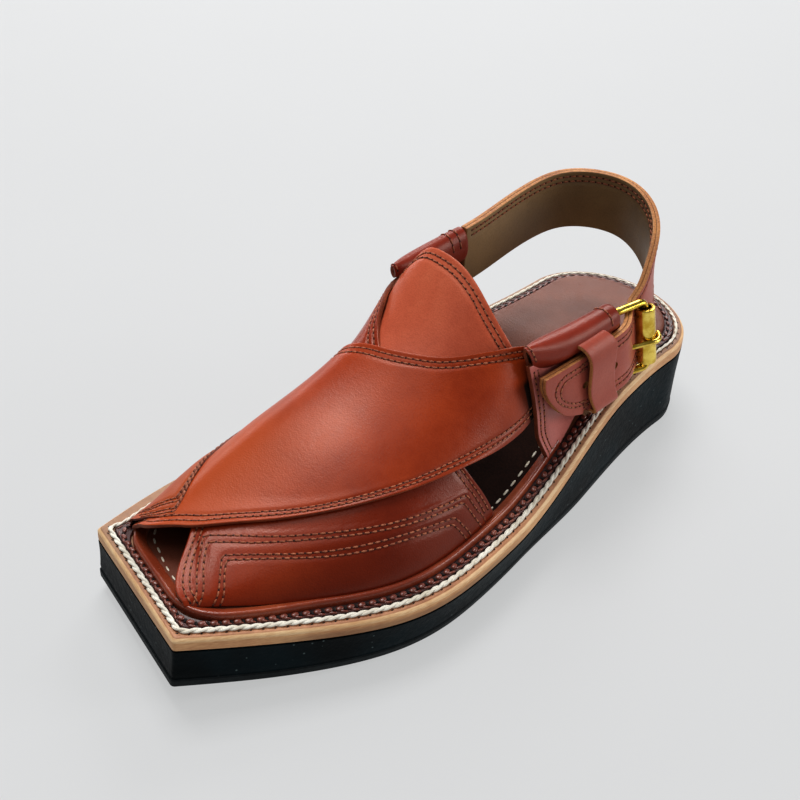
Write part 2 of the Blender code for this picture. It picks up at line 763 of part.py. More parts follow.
tread_share = 0.8
tread_edge = plan_ring(lambda x: rubber_taper(x) * tread_share)
tread = slab("sole_tread", [raised_ring(low_edge, sole_bottom), raised_ring(tread_edge, tread_top)])
wedge = slab("sole_wedge", [
    raised_ring(tread_edge, lambda x: tread_top(x) + GAP),
    raised_ring(edge, wedge_top),
])
welt = slab("welt_board", [
    raised_ring(edge, welt_bottom),
    raised_ring(edge, lambda x: welt_top(x) - WELT_BEVEL),
    raised_ring(plan_ring(WELT_BEVEL * 0.7), welt_top),
])
strip_outer = plan_ring(STRIP_OUTER)
strip_inner = plan_ring(strip_inset)
strip = band_ring("stitched_strip", [
    raised_ring(strip_outer, lambda x: welt_top(x) + GAP),
    raised_ring(strip_outer, lambda x: welt_top(x) + GAP + STRIP * 0.7),
    raised_ring(plan_ring(STRIP_OUTER + 0.7), lambda x: welt_top(x) + GAP + STRIP),
    raised_ring(plan_ring(lambda x: strip_inset(x) - 0.7), lambda x: welt_top(x) + GAP + STRIP),
    raised_ring(strip_inner, lambda x: welt_top(x) + GAP + STRIP * 0.7),
    raised_ring(strip_inner, lambda x: welt_top(x) + GAP),
])
lip_line = raised_ring(plan_ring(lip_inset, 8.0), lambda x: welt_top(x) + GAP + LIP_RADIUS)
lip = tube("rolled_lip", lip_line[lip_line[:, 0] > LIP_END], LIP_RADIUS)
insole_ring = plan_ring(insole_inset, 8.5)
insole = slab("insole", [
    raised_ring(insole_ring, lambda x: welt_top(x) + GAP),
    raised_ring(insole_ring, lambda x: insole_top(x) - 0.6),
    raised_ring(plan_ring(lambda x: insole_inset(x) + 0.5, 8.5), insole_top),
])

# ---- upper: both bands, both quarters and both rolls, joined --------------------------
upper = sheet("upper", band_grid(UNDER_BAND_ROWS, 30, 13), WALL)
joined = [
    sheet("over_band", band_grid(OVER_BAND_ROWS, 30, 12), WALL, CUTTERS),
    sheet("outer_quarter", quarter_grid(OUTER_QUARTER_ROWS, 8, 9), WALL, CUTTERS, away=-1.0),
    sheet("inner_quarter", quarter_grid(INNER_QUARTER_ROWS, 9, 8), WALL, CUTTERS, away=-1.0),
    oval_bar("outer_roll", OUTER_ROLL_ROWS),
    oval_bar("inner_roll", INNER_ROLL_ROWS),
]
for number, (start, stop) in enumerate(CHAPE_SPANS):
    low = along(BAR_LOW, BAR_HIGH, start)
    high = along(BAR_LOW, BAR_HIGH, stop)
    joined.append(pipe("chape_%d" % number, low, high, CHAPE_RADIUS, sides=16, group=CUTTERS))
for piece in joined:
    cut_or_join(upper, piece, "UNION")
hole_low = along(BAR_LOW, BAR_HIGH, -0.1)
hole_high = along(BAR_LOW, BAR_HIGH, 1.1)
bar_hole = pipe("bar_hole", hole_low, hole_high, CHAPE_BORE, sides=16, group=CUTTERS)
cut_or_join(upper, bar_hole, "DIFFERENCE")
bar_middle = along(BAR_LOW, BAR_HIGH, 0.5)
prong_room = box("prong_room", (bar_middle[0], bar_middle[1], PRONG_HEIGHT), (9.0, 16.0, 4.2))
cut_or_join(upper, prong_room, "DIFFERENCE")
tongue = sheet("tongue", tongue_grid(17, 9), TONGUE_WALL, away=-1.0)

# ---- heel strap, keeper and buckle ----------------------------------------------------
strap = sheet("heel_strap", strap_grid(44, 7), STRAP_WALL, middle=True)
slot_y = float(np.interp(PRONG_SLOT[0], [-92.0, -76.5], [33.6, 40.8]))
slot = box("prong_slot", (PRONG_SLOT[0], slot_y, PRONG_HEIGHT), (PRONG_SLOT[1], 16.0, PRONG_SLOT[2]))
cut_or_join(strap, slot, "DIFFERENCE")
keeper = sheet("keeper", keeper_grid(15, 4), KEEPER_WALL)

corners = [BAR_LOW, BAR_HIGH, ROLLER_HIGH, ROLLER_LOW]
frame_line = []
for i, corner in enumerate(corners):
    frame_line.append(rounded_corner(corners[i - 1], corner, corners[(i + 1) % 4], FRAME_CORNER))
frame = tube("buckle_frame", np.concatenate(frame_line), BAR_RADIUS, closed=True)
reach = ROLLER_LENGTH / np.linalg.norm(np.array(ROLLER_HIGH) - np.array(ROLLER_LOW)) / 2
roller_low = along(ROLLER_LOW, ROLLER_HIGH, 0.5 - reach)
roller_high = along(ROLLER_LOW, ROLLER_HIGH, 0.5 + reach)
roller = pipe("buckle_roller", roller_low, roller_high, ROLLER_RADIUS, ROLLER_BORE)

height_share = (PRONG_HEIGHT - BAR_LOW[2]) / (BAR_HIGH[2] - BAR_LOW[2])
eye = along(BAR_LOW, BAR_HIGH, height_share)
rest = along(ROLLER_LOW, ROLLER_HIGH, height_share)
over = ROLLER_RADIUS + 1.5 * GAP + PRONG_RADIUS
target = rest + np.array([0.0, over, 0.0])
aim = math.atan2(target[1] - eye[1], target[0] - eye[0])
leave = aim - math.acos(PRONG_RING / math.hypot(target[0] - eye[0], target[1] - eye[1]))
prong_line = []
for turn in np.linspace(leave - math.radians(250.0), leave, 15):
    prong_line.append(eye + PRONG_RING * np.array([math.cos(turn), math.sin(turn), 0.0]))
for share in (0.35, 0.7):
    prong_line.append(along(prong_line[14], target, share))
for turn in np.radians((90.0, 112.0, 134.0, 152.0)):
    prong_line.append(rest + over * np.array([math.cos(turn), math.sin(turn), 0.0]))
prong = tube("buckle_prong", np.array(prong_line), PRONG_RADIUS)

for piece, look in (
    (tread, RUBBER), (wedge, RUBBER), (welt, WELT_LEATHER), (strip, MAROON), (lip, MAROON),
    (insole, INSOLE_LEATHER), (upper, TAN), (tongue, TAN), (strap, LINED), (keeper, TAN),
    (frame, BRASS), (roller, BRASS), (prong, BRASS),
):
    piece.data.materials.clear()
    piece.data.materials.append(look)

shift = Matrix.Translation((SHIFT_X * MM, SHIFT_Y * MM, 0.0))
for piece in [*PARTS.objects, *CUTTERS.objects]:
    piece.data.transform(shift)
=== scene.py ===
"""Looks of a left kaptan chappal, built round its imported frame.

Lengths are millimetres on the shoe, and place() turns them into the frame's metres.
+X points to the toe, +Y to the wearer's left (the outer side of a left shoe), +Z up.
"""
import math

import bpy
import numpy as np
from mathutils import Matrix, Vector
from mathutils.bvhtree import BVHTree
from mathutils.kdtree import KDTree


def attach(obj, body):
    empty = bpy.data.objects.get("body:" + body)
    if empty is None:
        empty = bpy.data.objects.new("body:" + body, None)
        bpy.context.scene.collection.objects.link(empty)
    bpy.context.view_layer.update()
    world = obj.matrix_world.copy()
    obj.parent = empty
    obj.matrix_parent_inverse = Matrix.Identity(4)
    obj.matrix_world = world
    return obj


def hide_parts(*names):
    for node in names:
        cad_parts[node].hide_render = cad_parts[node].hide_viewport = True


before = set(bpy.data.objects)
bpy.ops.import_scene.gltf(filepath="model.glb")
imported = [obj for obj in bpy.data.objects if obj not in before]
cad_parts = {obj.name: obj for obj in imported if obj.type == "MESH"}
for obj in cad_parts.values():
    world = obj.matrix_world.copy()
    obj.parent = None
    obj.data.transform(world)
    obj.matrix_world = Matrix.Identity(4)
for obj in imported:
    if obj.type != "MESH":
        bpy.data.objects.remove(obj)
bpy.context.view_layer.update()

MM = 0.001
GAP = 0.3                    # running gap between pieces that touch
SHIFT_X = 0.63               # moves the middle of the finished sandal over the origin
SHIFT_Y = -0.30

# ---- sole: plan outline and heights ---------------------------------------------------
# One row for each station from the widest part of the heel to the toe. Most of the widths,
# both corners, HEEL_DEPTH, BALL_RUBBER, HEEL_RUBBER, RAMP_BACK, SPRING_START and TOE_SPRING
# are a fitting script's result, rounded or moved by up to about 1 mm.
OUTLINE_ROWS = (
    # x,   outer y, inner y
    (-117.0, 39.5, -39.5),
    (-61.0, 46.2, -43.5),
    (-16.0, 54.5, -49.5),
    (29.0, 60.3, -56.3),
    (69.0, 57.8, -60.2),
    (109.0, 38.5, -57.8),
)
TOE_OUTER = (148.0, 14.0)    # the two corners of the slanting front edge
TOE_INNER = (129.5, -54.0)
HEEL_DEPTH = 33.0            # from the widest part of the heel to its back
BALL_RUBBER = 17.4           # rubber under the ball of the foot, tread included
HEEL_RUBBER = 35.0           # rubber under the heel, tread included
RAMP_BACK = -79.0            # the wedge rises from RAMP_FRONT back to RAMP_BACK
RAMP_FRONT = 9.0
SPRING_START = 37.0          # toe spring begins just in front of the ball
TOE_SPRING = 8.8
HEEL_LIFT_START = -126.0     # the back edge of the heel is eased off the floor
HEEL_LIFT = 4.0
TREAD = 3.6                  # tread sheet under the wedge
WELT = 6.0                   # leather welt board
TAPER = 1.0                  # the rubber draws in by this much at the floor,
WAIST_TAPER = 3.4            # and by this much beside the ball and the waist
STRIP_OUTER = 5.2            # distances in from the edge of the sole
STRIP_INNER = 9.0
LIP_INSET = 11.3
TOE_EASE = 1.9               # strip, lip and insole lie this much nearer the edge at the toe
TOE_EASE_START = 98.0
TOE_EASE_END = 126.0
LIP_END = -32.0              # the rolled lip ends under the two quarters
INSOLE = 1.9
INSOLE_INSET_FRONT = 12.0
INSOLE_INSET_HEEL = 9.4

# ---- last: the form that the bands are pulled over ------------------------------------
# Height of the ridge over the insole, and how far it leans to the inner side,
# as a share of the half width.
LAST_ROWS = (
    # x,  height, lean
    (-61.0, 92.0, 0.30),
    (-41.0, 85.0, 0.38),
    (-21.0, 76.0, 0.46),
    (-1.0, 61.5, 0.47),
    (19.0, 48.5, 0.44),
    (39.0, 39.5, 0.41),
    (59.0, 33.0, 0.38),
    (79.0, 25.0, 0.36),
    (99.0, 16.5, 0.32),
    (114.0, 10.5, 0.25),
    (131.0, 5.0, 0.20),
)
LAST_INSET = 15.8            # foot line of the last, in from the edge of the sole
FLANK_PULL = 4.2             # the inner flank is this much flatter at its fullest
SIDE_FULLNESS = 0.90         # exponents of the cross-section
CROWN_FULLNESS = 0.85

# ---- upper ----------------------------------------------------------------------------
WALL = 2.2
TONGUE_WALL = 1.8
# Bands on the last. Each row gives the front and the back edge as a station and an angle
# round the section, from the outer foot line (0) over the ridge to the inner one (180),
# and how far the band's inner face stands off the last. The edges that show, here and on
# the tongue, are a measuring script's result, thinned and mostly rounded to half units. The
# hidden edges and the rises were chosen.
UNDER_BAND_ROWS = (
    # front x, angle, back x, angle, rise; outer toe foot to inner quarter
    (134.4, 3.5, 11.0, 1.0, 0.0),
    (133.8, 35.0, 16.0, 13.0, 0.0),
    (126.0, 66.0, 19.5, 24.0, 0.0),
    (112.0, 88.0, 22.0, 40.0, 0.0),
    (99.0, 104.0, 23.0, 58.0, 0.0),
    (84.0, 120.0, 21.0, 74.0, 0.0),
    (64.0, 132.0, 16.0, 88.0, 0.0),
    (41.0, 142.0, 10.5, 97.0, 0.0),
    (19.0, 150.0, 4.0, 107.0, 0.3),
    (-1.0, 156.0, -4.0, 117.0, 1.0),
    (-16.0, 160.0, -12.0, 127.0, 1.8),
    (-31.0, 163.0, -27.0, 137.0, 2.2),
)
OVER_BAND_ROWS = (
    # front x, angle, back x, angle, rise; inner toe foot to outer quarter
    (121.5, 179.0, 35.0, 179.0, 0.0),
    (123.0, 147.0, 27.0, 150.0, 1.0),
    (122.0, 117.0, 19.5, 128.0, 1.6),
    (114.7, 91.0, 17.5, 110.0, 1.6),
    (102.0, 71.0, 14.0, 89.0, 1.6),
    (89.0, 57.5, 10.0, 76.0, 1.6),
    (71.0, 47.0, 4.5, 65.0, 1.6),
    (49.0, 37.5, -2.0, 56.5, 1.6),
    (29.0, 30.0, -8.5, 49.7, 1.6),
    (9.0, 22.5, -14.5, 44.0, 1.4),
    (-14.0, 14.0, -21.0, 38.5, -0.5),
    (-31.0, 9.0, -33.0, 28.0, -5.0),
)
TONGUE_ROWS = (
    # angle, root x, tip x
    (34.0, 19.0, -21.5),
    (46.0, 33.0, -19.6),
    (60.0, 35.0, -19.3),
    (77.0, 35.0, -20.8),
    (92.0, 35.0, -21.6),
    (104.0, 35.0, -22.0),
    (114.0, 35.0, -20.5),
    (122.0, 33.0, -15.0),
    (130.0, 25.0, -5.0),
)
# Quarters: the outside face of each, from its foot up into the rolled chape.
QUARTER_FOOT = 41.0          # height that the first row stands for; the foot follows the insole
OUTER_QUARTER_ROWS = (
    # front x, y, back x, y, z
    (-27.0, 38.7, -61.0, 34.4, 41.0),
    (-23.5, 39.0, -70.0, 37.0, 50.0),
    (-22.5, 37.4, -72.0, 36.6, 60.0),
    (-21.0, 35.2, -72.0, 35.6, 70.0),
    (-18.8, 33.8, -69.5, 34.6, 78.0),
)
INNER_QUARTER_ROWS = (
    (-22.0, -34.4, -54.0, -30.4, 41.0),
    (-21.0, -37.5, -54.0, -35.0, 50.0),
    (-18.0, -38.8, -54.0, -36.4, 65.0),
    (-15.0, -38.6, -54.0, -36.6, 78.0),
    (-13.0, -37.0, -53.0, -36.0, 87.0),
)
OUTER_ROLL_ROWS = (
    # x, y, z of its middle, half thickness, half height
    (-20.0, 31.8, 80.4, 2.2, 6.8),
    (-25.0, 31.6, 79.4, 4.2, 7.0),
    (-32.0, 32.0, 78.6, 5.8, 6.9),
    (-46.0, 33.2, 78.3, 6.2, 6.4),
    (-70.5, 33.8, 78.0, 5.6, 5.8),
)
INNER_ROLL_ROWS = (
    (-13.5, -36.2, 92.0, 1.45, 3.1),
    (-20.0, -36.4, 91.2, 3.4, 4.4),
    (-33.0, -36.2, 88.6, 5.0, 7.6),
    (-54.0, -35.4, 88.6, 4.8, 8.4),
)

# ---- heel strap, keeper and buckle ----------------------------------------------------
STRAP_WIDTH = 28.0
STRAP_WALL = 3.4
STRAP_ROWS = (
    # middle of the strap from the inner quarter round the heel to its free tip,
    # and the angle by which its upper edge leans in over the foot
    # x,     y,     z,    lean
    (-54.6, -34.2, 83.2, 0.0),
    (-65.0, -34.6, 83.4, 0.0),
    (-78.0, -34.8, 84.8, 0.0),
    (-99.0, -33.6, 88.0, 0.0),
    (-113.0, -28.8, 90.4, 0.0),
    (-123.0, -18.0, 91.4, 0.0),
    (-128.0, -3.0, 90.4, 0.0),
    (-125.0, 10.0, 87.4, 0.0),
    (-117.5, 20.0, 82.4, 2.0),
    (-108.5, 26.5, 75.2, 6.0),
    (-100.0, 30.8, 67.6, 10.0),
    (-92.0, 33.6, 62.9, 12.0),
    (-84.5, 37.0, 61.6, 10.0),
    (-76.5, 40.8, 61.0, 7.0),
    (-62.0, 41.6, 60.4, 5.0),
    (-42.0, 41.2, 60.2, 5.0),
    (-21.0, 40.6, 60.0, 6.0),
)
TIP_ROWS = (
    # share of the width from the lower edge to the upper one, cut back from the tip
    (0.0, 24.0),
    (0.12, 15.5),
    (0.25, 10.5),
    (0.46, 5.6),
    (0.70, 1.4),
    (0.90, 0.0),
    (1.0, 0.3),
)
TIP_REACH = 30.0             # the cut is taken up over this length of strap
KEEPER_WALL = 1.8
KEEPER_ROWS = (
    # inner face, from the outer roll down to the foot of the quarter
    # front x, back x, y, z
    (-41.5, -57.5, 35.8, 76.2),
    (-42.5, -59.0, 39.6, 78.2),
    (-44.2, -61.5, 43.0, 75.2),
    (-45.2, -61.2, 44.3, 69.0),
    (-46.0, -62.0, 44.5, 58.0),
    (-48.6, -64.0, 45.3, 50.0),
    (-50.6, -65.6, 45.4, 46.6),
    (-51.6, -67.4, 43.6, 45.4),
    (-52.0, -67.6, 41.0, 45.3),
    (-52.0, -67.6, 37.6, 45.3),
)
ROLLER_RADIUS = 4.4
ROLLER_LENGTH = 26.0
BAR_LOW = (-75.0, 35.6, 45.5)          # the bar held by the quarter
BAR_HIGH = (-74.0, 32.4, 77.0)
ROLLER_LOW = (-92.6, 42.0, 46.2)       # the side that carries the roller
ROLLER_HIGH = (-91.8, 36.2, 77.4)
CHAPE_RADIUS = 3.7           # leather folded round the bar, above and below the prong
CHAPE_SPANS = ((0.12, 0.42), (0.58, 0.88))    # shares of the bar, from its lower end
PRONG_RADIUS = 1.1
PRONG_RING = 3.0
PRONG_HEIGHT = 60.4

# ---- small tools ----------------------------------------------------------------------
def smooth_step(low, high, value):
    """0 at low and before, 1 at high and after."""
    t = np.clip((np.asarray(value, float) - low) / (high - low), 0.0, 1.0)
    return t * t * (3.0 - 2.0 * t)


def spline(knots, values, start_slope=None):
    """Cubic curve through rows of a table, with natural ends or a given first slope."""
    x = np.asarray(knots, float)
    y = np.asarray(values, float)
    step = np.diff(x)
    rise = np.diff(y) / step
    count = len(x)
    matrix = np.zeros((count, count))
    right = np.zeros(count)
    for i in range(1, count - 1):
        matrix[i, i - 1:i + 2] = (step[i - 1], 2 * (step[i - 1] + step[i]), step[i])
        right[i] = 6 * (rise[i] - rise[i - 1])
    matrix[0, 0] = matrix[-1, -1] = 1.0
    if start_slope is not None:
        matrix[0, :2] = (2 * step[0], step[0])
        right[0] = 6 * (rise[0] - start_slope)
    bend = np.linalg.solve(matrix, right)

    def curve(at):
        at = np.asarray(at, float)
        i = np.clip(np.searchsorted(x, at) - 1, 0, count - 2)
        a = (x[i + 1] - at) / step[i]
        b = 1.0 - a
        curl = (a ** 3 - a) * bend[i] + (b ** 3 - b) * bend[i + 1]
        return a * y[i] + b * y[i + 1] + curl * step[i] ** 2 / 6
    return curve


def column_curves(rows, count):
    """Smooth curves through the columns of a table, read at count even steps of its rows."""
    table = np.asarray(rows, float)
    steps = np.arange(len(table))
    at = np.linspace(0, len(table) - 1, count)
    return np.stack([spline(steps, column)(at) for column in table.T], axis=1)


def resample(points, count):
    """count points at even distances along an open polyline."""
    points = np.asarray(points, float)
    length = np.concatenate([[0.0], np.cumsum(np.linalg.norm(np.diff(points, axis=0), axis=1))])
    at = np.linspace(0.0, length[-1], count)
    return np.stack([np.interp(at, length, column) for column in points.T], axis=1)


def smooth_line(rows, count):
    """Smooth line through table rows, read at count even steps of its length."""
    table = np.asarray(rows, float)
    hop = np.linalg.norm(np.diff(table[:, :3], axis=0), axis=1)
    length = np.concatenate([[0.0], np.cumsum(hop)])
    at = np.linspace(0.0, length[-1], count)
    return np.stack([spline(length, column)(at) for column in table.T], axis=1)


def trim(points, start, stop):
    """The stretch of a polyline between two distances from its beginning."""
    points = np.asarray(points, float)
    length = np.concatenate([[0.0], np.cumsum(np.linalg.norm(np.diff(points, axis=0), axis=1))])
    inside = (length > start) & (length < stop)
    at = np.concatenate([[start], length[inside], [stop]])
    return np.stack([np.interp(at, length, column) for column in points.T], axis=1)


# ---- the sole's functions ---------------------------------------------------------------
OUTLINE = np.array(OUTLINE_ROWS)
outer_side = spline([*OUTLINE[:, 0], TOE_OUTER[0]], [*OUTLINE[:, 1], TOE_OUTER[1]], 0.0)
inner_side = spline([*OUTLINE[:, 0], TOE_INNER[0]], [*OUTLINE[:, 2], TOE_INNER[1]], 0.0)


def slope(curve, x):
    return (curve(x + 0.05) - curve(x - 0.05)) / 0.1


def toe_spring(x):
    return TOE_SPRING * np.clip((x - SPRING_START) / (TOE_OUTER[0] - SPRING_START), 0.0, None) ** 2


def sole_bottom(x):
    lift = np.clip((HEEL_LIFT_START - x) / (HEEL_LIFT_START + 150.0), 0.0, None)
    return toe_spring(x) + HEEL_LIFT * lift ** 2


def wedge_top(x):
    ramp = smooth_step(RAMP_FRONT, RAMP_BACK, x)
    return toe_spring(x) + BALL_RUBBER + (HEEL_RUBBER - BALL_RUBBER) * ramp


def welt_bottom(x):
    return wedge_top(x) + GAP


def welt_top(x):
    return welt_bottom(x) + WELT


def insole_top(x):
    return welt_top(x) + GAP + INSOLE


def foot_line(x):
    """Height at which the upper stands on the insole."""
    return insole_top(x) + GAP


def toe_ease(x):
    return TOE_EASE * smooth_step(TOE_EASE_START, TOE_EASE_END, x)


def insole_inset(x):
    blend = smooth_step(-76.0, -46.0, x)
    return INSOLE_INSET_HEEL + (INSOLE_INSET_FRONT - INSOLE_INSET_HEEL) * blend - toe_ease(x)


def lip_inset(x):
    return LIP_INSET - toe_ease(x)


def strip_inset(x):
    return STRIP_INNER - toe_ease(x)


# ---- plan rings -----------------------------------------------------------------------
HEEL_STEPS = 26
SIDE_STEPS = 120
CORNER_STEPS = 12
FRONT_STEPS = 22
HALF_STEPS = HEEL_STEPS + SIDE_STEPS + CORNER_STEPS + FRONT_STEPS
RING_COUNT = 2 * HALF_STEPS


def side_to_corner(curve, hand, inset):
    """Line at a distance in from the outline, from the back of the heel to the front corner."""
    turn = np.linspace(0.0, math.pi / 2, 61)
    middle = OUTLINE[0, 0]
    half = abs(float(curve(middle)))
    arc = np.stack([middle - HEEL_DEPTH * np.cos(turn), hand * half * np.sin(turn)], axis=1)
    inward = np.stack([np.cos(turn) / HEEL_DEPTH, -hand * np.sin(turn) / half], axis=1)
    x = np.linspace(middle, TOE_OUTER[0] + 2.0, 240)[1:]
    rise = slope(curve, x)
    arc = np.concatenate([arc, np.stack([x, curve(x)], axis=1)])
    inward = np.concatenate([inward, np.stack([hand * rise, -hand * np.ones_like(x)], axis=1)])
    inward /= np.linalg.norm(inward, axis=1)[:, None]
    line = arc + inward * np.asarray(inset(arc[:, 0]))[:, None]
    front = np.array(TOE_INNER) - np.array(TOE_OUTER)
    back = np.array([front[1], -front[0]]) / np.linalg.norm(front)
    depth = (line - np.array(TOE_OUTER)) @ back - float(inset(np.array(TOE_OUTER[0])))
    stop = int(np.argmax(depth < 0.0))
    share = depth[stop - 1] / (depth[stop - 1] - depth[stop])
    corner = line[stop - 1] + share * (line[stop] - line[stop - 1])
    return np.concatenate([line[:stop], corner[None]])


def plan_ring(inset, corner=4.0):
    """Closed ring inside the outline: point 0 at the back of the heel, up the outer side,
    point RING_COUNT / 2 at the middle of the toe edge, and back down the inner side."""
    if not callable(inset):
        width = float(inset)
        inset = lambda x: np.full(np.shape(x), width)
    sides = [side_to_corner(outer_side, 1.0, inset), side_to_corner(inner_side, -1.0, inset)]
    middle = (sides[0][-1] + sides[1][-1]) / 2
    runs = []
    for side in sides:
        length = np.linalg.norm(np.diff(side, axis=0), axis=1).sum()
        runs.append(trim(side, 0.0, length - corner))
    heel_end = OUTLINE[0, 0]
    shared_end = (runs[0][-1, 0] + runs[1][-1, 0]) / 2
    share = np.linspace(0.0, 1.0, SIDE_STEPS + 1)
    halves = []
    for side, run in zip(sides, runs):
        heel = run[run[:, 0] < heel_end]
        level = np.interp(heel_end, run[:, 0], run[:, 1])
        heel = np.concatenate([heel, [[heel_end, level]]])
        x = heel_end + (shared_end - heel_end) * share
        x = x + (run[-1, 0] - shared_end) * smooth_step(0.62, 1.0, share)
        along_side = np.stack([x, np.interp(x, run[:, 0], run[:, 1])], axis=1)
        across = middle - side[-1]
        leave = side[-1] + across / np.linalg.norm(across) * corner
        t = np.linspace(0.0, 1.0, 13)[:, None]
        bend = (1 - t) ** 2 * run[-1] + 2 * t * (1 - t) * side[-1] + t ** 2 * leave
        half = np.concatenate([
            resample(heel, HEEL_STEPS + 1)[:-1],
            along_side[:-1],
            resample(bend, CORNER_STEPS + 1)[:-1],
            resample(np.stack([leave, middle]), FRONT_STEPS + 1),
        ])
        halves.append(half)
    return np.concatenate([halves[0], halves[1][-2:0:-1]])


def rubber_taper(x):
    waist = smooth_step(-50.0, 0.0, x) * smooth_step(125.0, 60.0, x)
    return TAPER + (WAIST_TAPER - TAPER) * waist


def raised_ring(ring, height):
    """Plan ring lifted to a height that depends on x; the toe face stays square to the sole."""
    x = ring[:, 0]
    z = height(x)
    reach = TOE_OUTER[0] - SPRING_START
    tilt = 2.0 * TOE_SPRING * np.clip((x - SPRING_START) / reach, 0.0, None) / reach
    forward = tilt * np.clip(wedge_top(x) - z, 0.0, None)
    return np.stack([x + forward, ring[:, 1], z], axis=1)


# ---- the last -------------------------------------------------------------------------
LAST = np.array(LAST_ROWS)
ridge_height = spline(LAST[:, 0], LAST[:, 1])
ridge_lean = spline(LAST[:, 0], LAST[:, 2])


def last_form(x, angle):
    outer = outer_side(x) - LAST_INSET * np.sqrt(1.0 + slope(outer_side, x) ** 2)
    inner = inner_side(x) + LAST_INSET * np.sqrt(1.0 + slope(inner_side, x) ** 2)
    half = (outer - inner) / 2
    turn = np.radians(angle)
    across = np.sign(np.cos(turn)) * np.abs(np.cos(turn)) ** SIDE_FULLNESS
    up = np.abs(np.sin(turn))
    y = (outer + inner) / 2 + half * (across - 0.9 * ridge_lean(x) * up ** 1.5)
    flank = smooth_step(94.0, 128.0, angle) * smooth_step(180.0, 148.0, angle)
    y = y + FLANK_PULL * flank * smooth_step(-14.0, 20.0, x) * smooth_step(134.0, 116.0, x)
    z = foot_line(x) + ridge_height(x) * up ** CROWN_FULLNESS
    return np.stack([x + 0.0 * y, y, z], axis=-1)


def last_point(x, angle, rise=0.0):
    """Point on the last, lifted off it along its outward normal."""
    x = np.asarray(x, float)
    angle = np.asarray(angle, float)
    held = np.clip(angle, 4.0, 176.0)
    along = last_form(x + 0.1, held) - last_form(x - 0.1, held)
    round_it = last_form(x, held + 0.2) - last_form(x, held - 0.2)
    normal = np.cross(round_it, along)
    normal /= np.linalg.norm(normal, axis=-1)[..., None]
    return last_form(x, angle) + normal * np.asarray(rise, float)[..., None]


# ---- grids of the bent sheets ---------------------------------------------------------
def quarter_grid(rows, count, across):
    """Outer face of a quarter; its foot follows the insole."""
    table = column_curves(rows, count)
    share = np.linspace(0.0, 1.0, across)[None, :]
    x = table[:, 0:1] * (1 - share) + table[:, 2:3] * share
    y = table[:, 1:2] * (1 - share) + table[:, 3:4] * share
    top = table[-1, 4]
    left = (top - table[:, 4:5]) / (top - QUARTER_FOOT)
    z = table[:, 4:5] + left * (foot_line(x) - QUARTER_FOOT)
    return np.stack([x, y, z], axis=-1)


def strap_frame(count):
    """Middle line of the heel strap, with its width and thickness directions."""
    table = smooth_line(STRAP_ROWS, count)
    middle = table[:, :3]
    ahead = np.gradient(middle, axis=0)
    ahead /= np.linalg.norm(ahead, axis=1)[:, None]
    rise = np.array([0.0, 0.0, 1.0]) - ahead[:, 2:3] * ahead
    rise /= np.linalg.norm(rise, axis=1)[:, None]
    out = np.cross(rise, ahead)
    lean = np.radians(table[:, 3:4])
    width = rise * np.cos(lean) - out * np.sin(lean)
    face = out * np.cos(lean) + rise * np.sin(lean)
    return middle, width, face


def keeper_grid(count, across):
    """Inner face of the keeper."""
    table = column_curves(KEEPER_ROWS, count)
    share = np.linspace(0.0, 1.0, across)[None, :]
    x = table[:, 0:1] * (1 - share) + table[:, 1:2] * share
    return np.stack([x, table[:, 2:3] + 0.0 * x, table[:, 3:4] + 0.0 * x], axis=-1)


# ---- finishes -------------------------------------------------------------------------
def tint(red, green, blue):
    """Colour mixed on a 0 to 255 scale, as the shader wants it."""
    levels = np.array([red, green, blue]) / 255.0
    linear = np.where(levels <= 0.04045, levels / 12.92, ((levels + 0.055) / 1.055) ** 2.4)
    return (*[float(level) for level in linear], 1.0)


class Wire:
    """A shader socket that can be used in sums."""

    def __init__(self, tree, socket):
        self.tree = tree
        self.socket = socket

    def node(self, kind, settings=None, values=None, output=0):
        """Any node, with its settings made first and its sockets set or joined after."""
        made = self.tree.nodes.new("ShaderNode" + kind)
        for key, value in (settings or {}).items():
            if key == "stops":
                ramp = made.color_ramp
                while len(ramp.elements) < len(value):
                    ramp.elements.new(0.5)
                for element, (spot, colour) in zip(ramp.elements, value):
                    element.position = spot
                    element.color = colour
            else:
                setattr(made, key, value)
        for key, value in (values or {}).items():
            if isinstance(value, Wire):
                self.tree.links.new(value.socket, made.inputs[key])
            else:
                made.inputs[key].default_value = value
        return Wire(self.tree, made.outputs[output])

    def maths(self, operation, first, second=0.0):
        return self.node("Math", {"operation": operation}, {0: first, 1: second})

    def __add__(self, other):
        return self.maths("ADD", self, other)

    def __sub__(self, other):
        return self.maths("SUBTRACT", self, other)

    def __rsub__(self, other):
        return self.maths("SUBTRACT", other, self)

    def __mul__(self, other):
        return self.maths("MULTIPLY", self, other)

    def __truediv__(self, other):
        return self.maths("DIVIDE", self, other)

    __radd__ = __add__
    __rmul__ = __mul__

    def stretched(self, x, y, z):
        return self.node("VectorMath", {"operation": "MULTIPLY"}, {0: self, 1: (x, y, z)})

    def noise(self, scale, detail=3.0, rough=0.5):
        values = {"Vector": self, "Scale": scale, "Detail": detail, "Roughness": rough}
        return self.node("TexNoise", {}, values)

    def cells(self, scale, output=0):
        return self.node("TexVoronoi", {"feature": "F1"}, {"Vector": self, "Scale": scale}, output)

    def between(self, low, high):
        """0 below low, 1 above high."""
        return self.node("MapRange", {"interpolation_type": "SMOOTHSTEP"}, {0: self, 1: low, 2: high})

    def blend(self, first, second):
        """Colour that goes from the first to the second as this goes from 0 to 1."""
        return self.node("Mix", {"data_type": "RGBA"}, {0: self, 6: first, 7: second}, 2)

    def part(self, name):
        index = "XYZ".index(name)
        return self.node("SeparateXYZ", {}, {0: self}, index)

    def bump(self, distance, strength=1.0):
        values = {"Height": self, "Distance": distance, "Strength": strength}
        return self.node("Bump", {}, values)


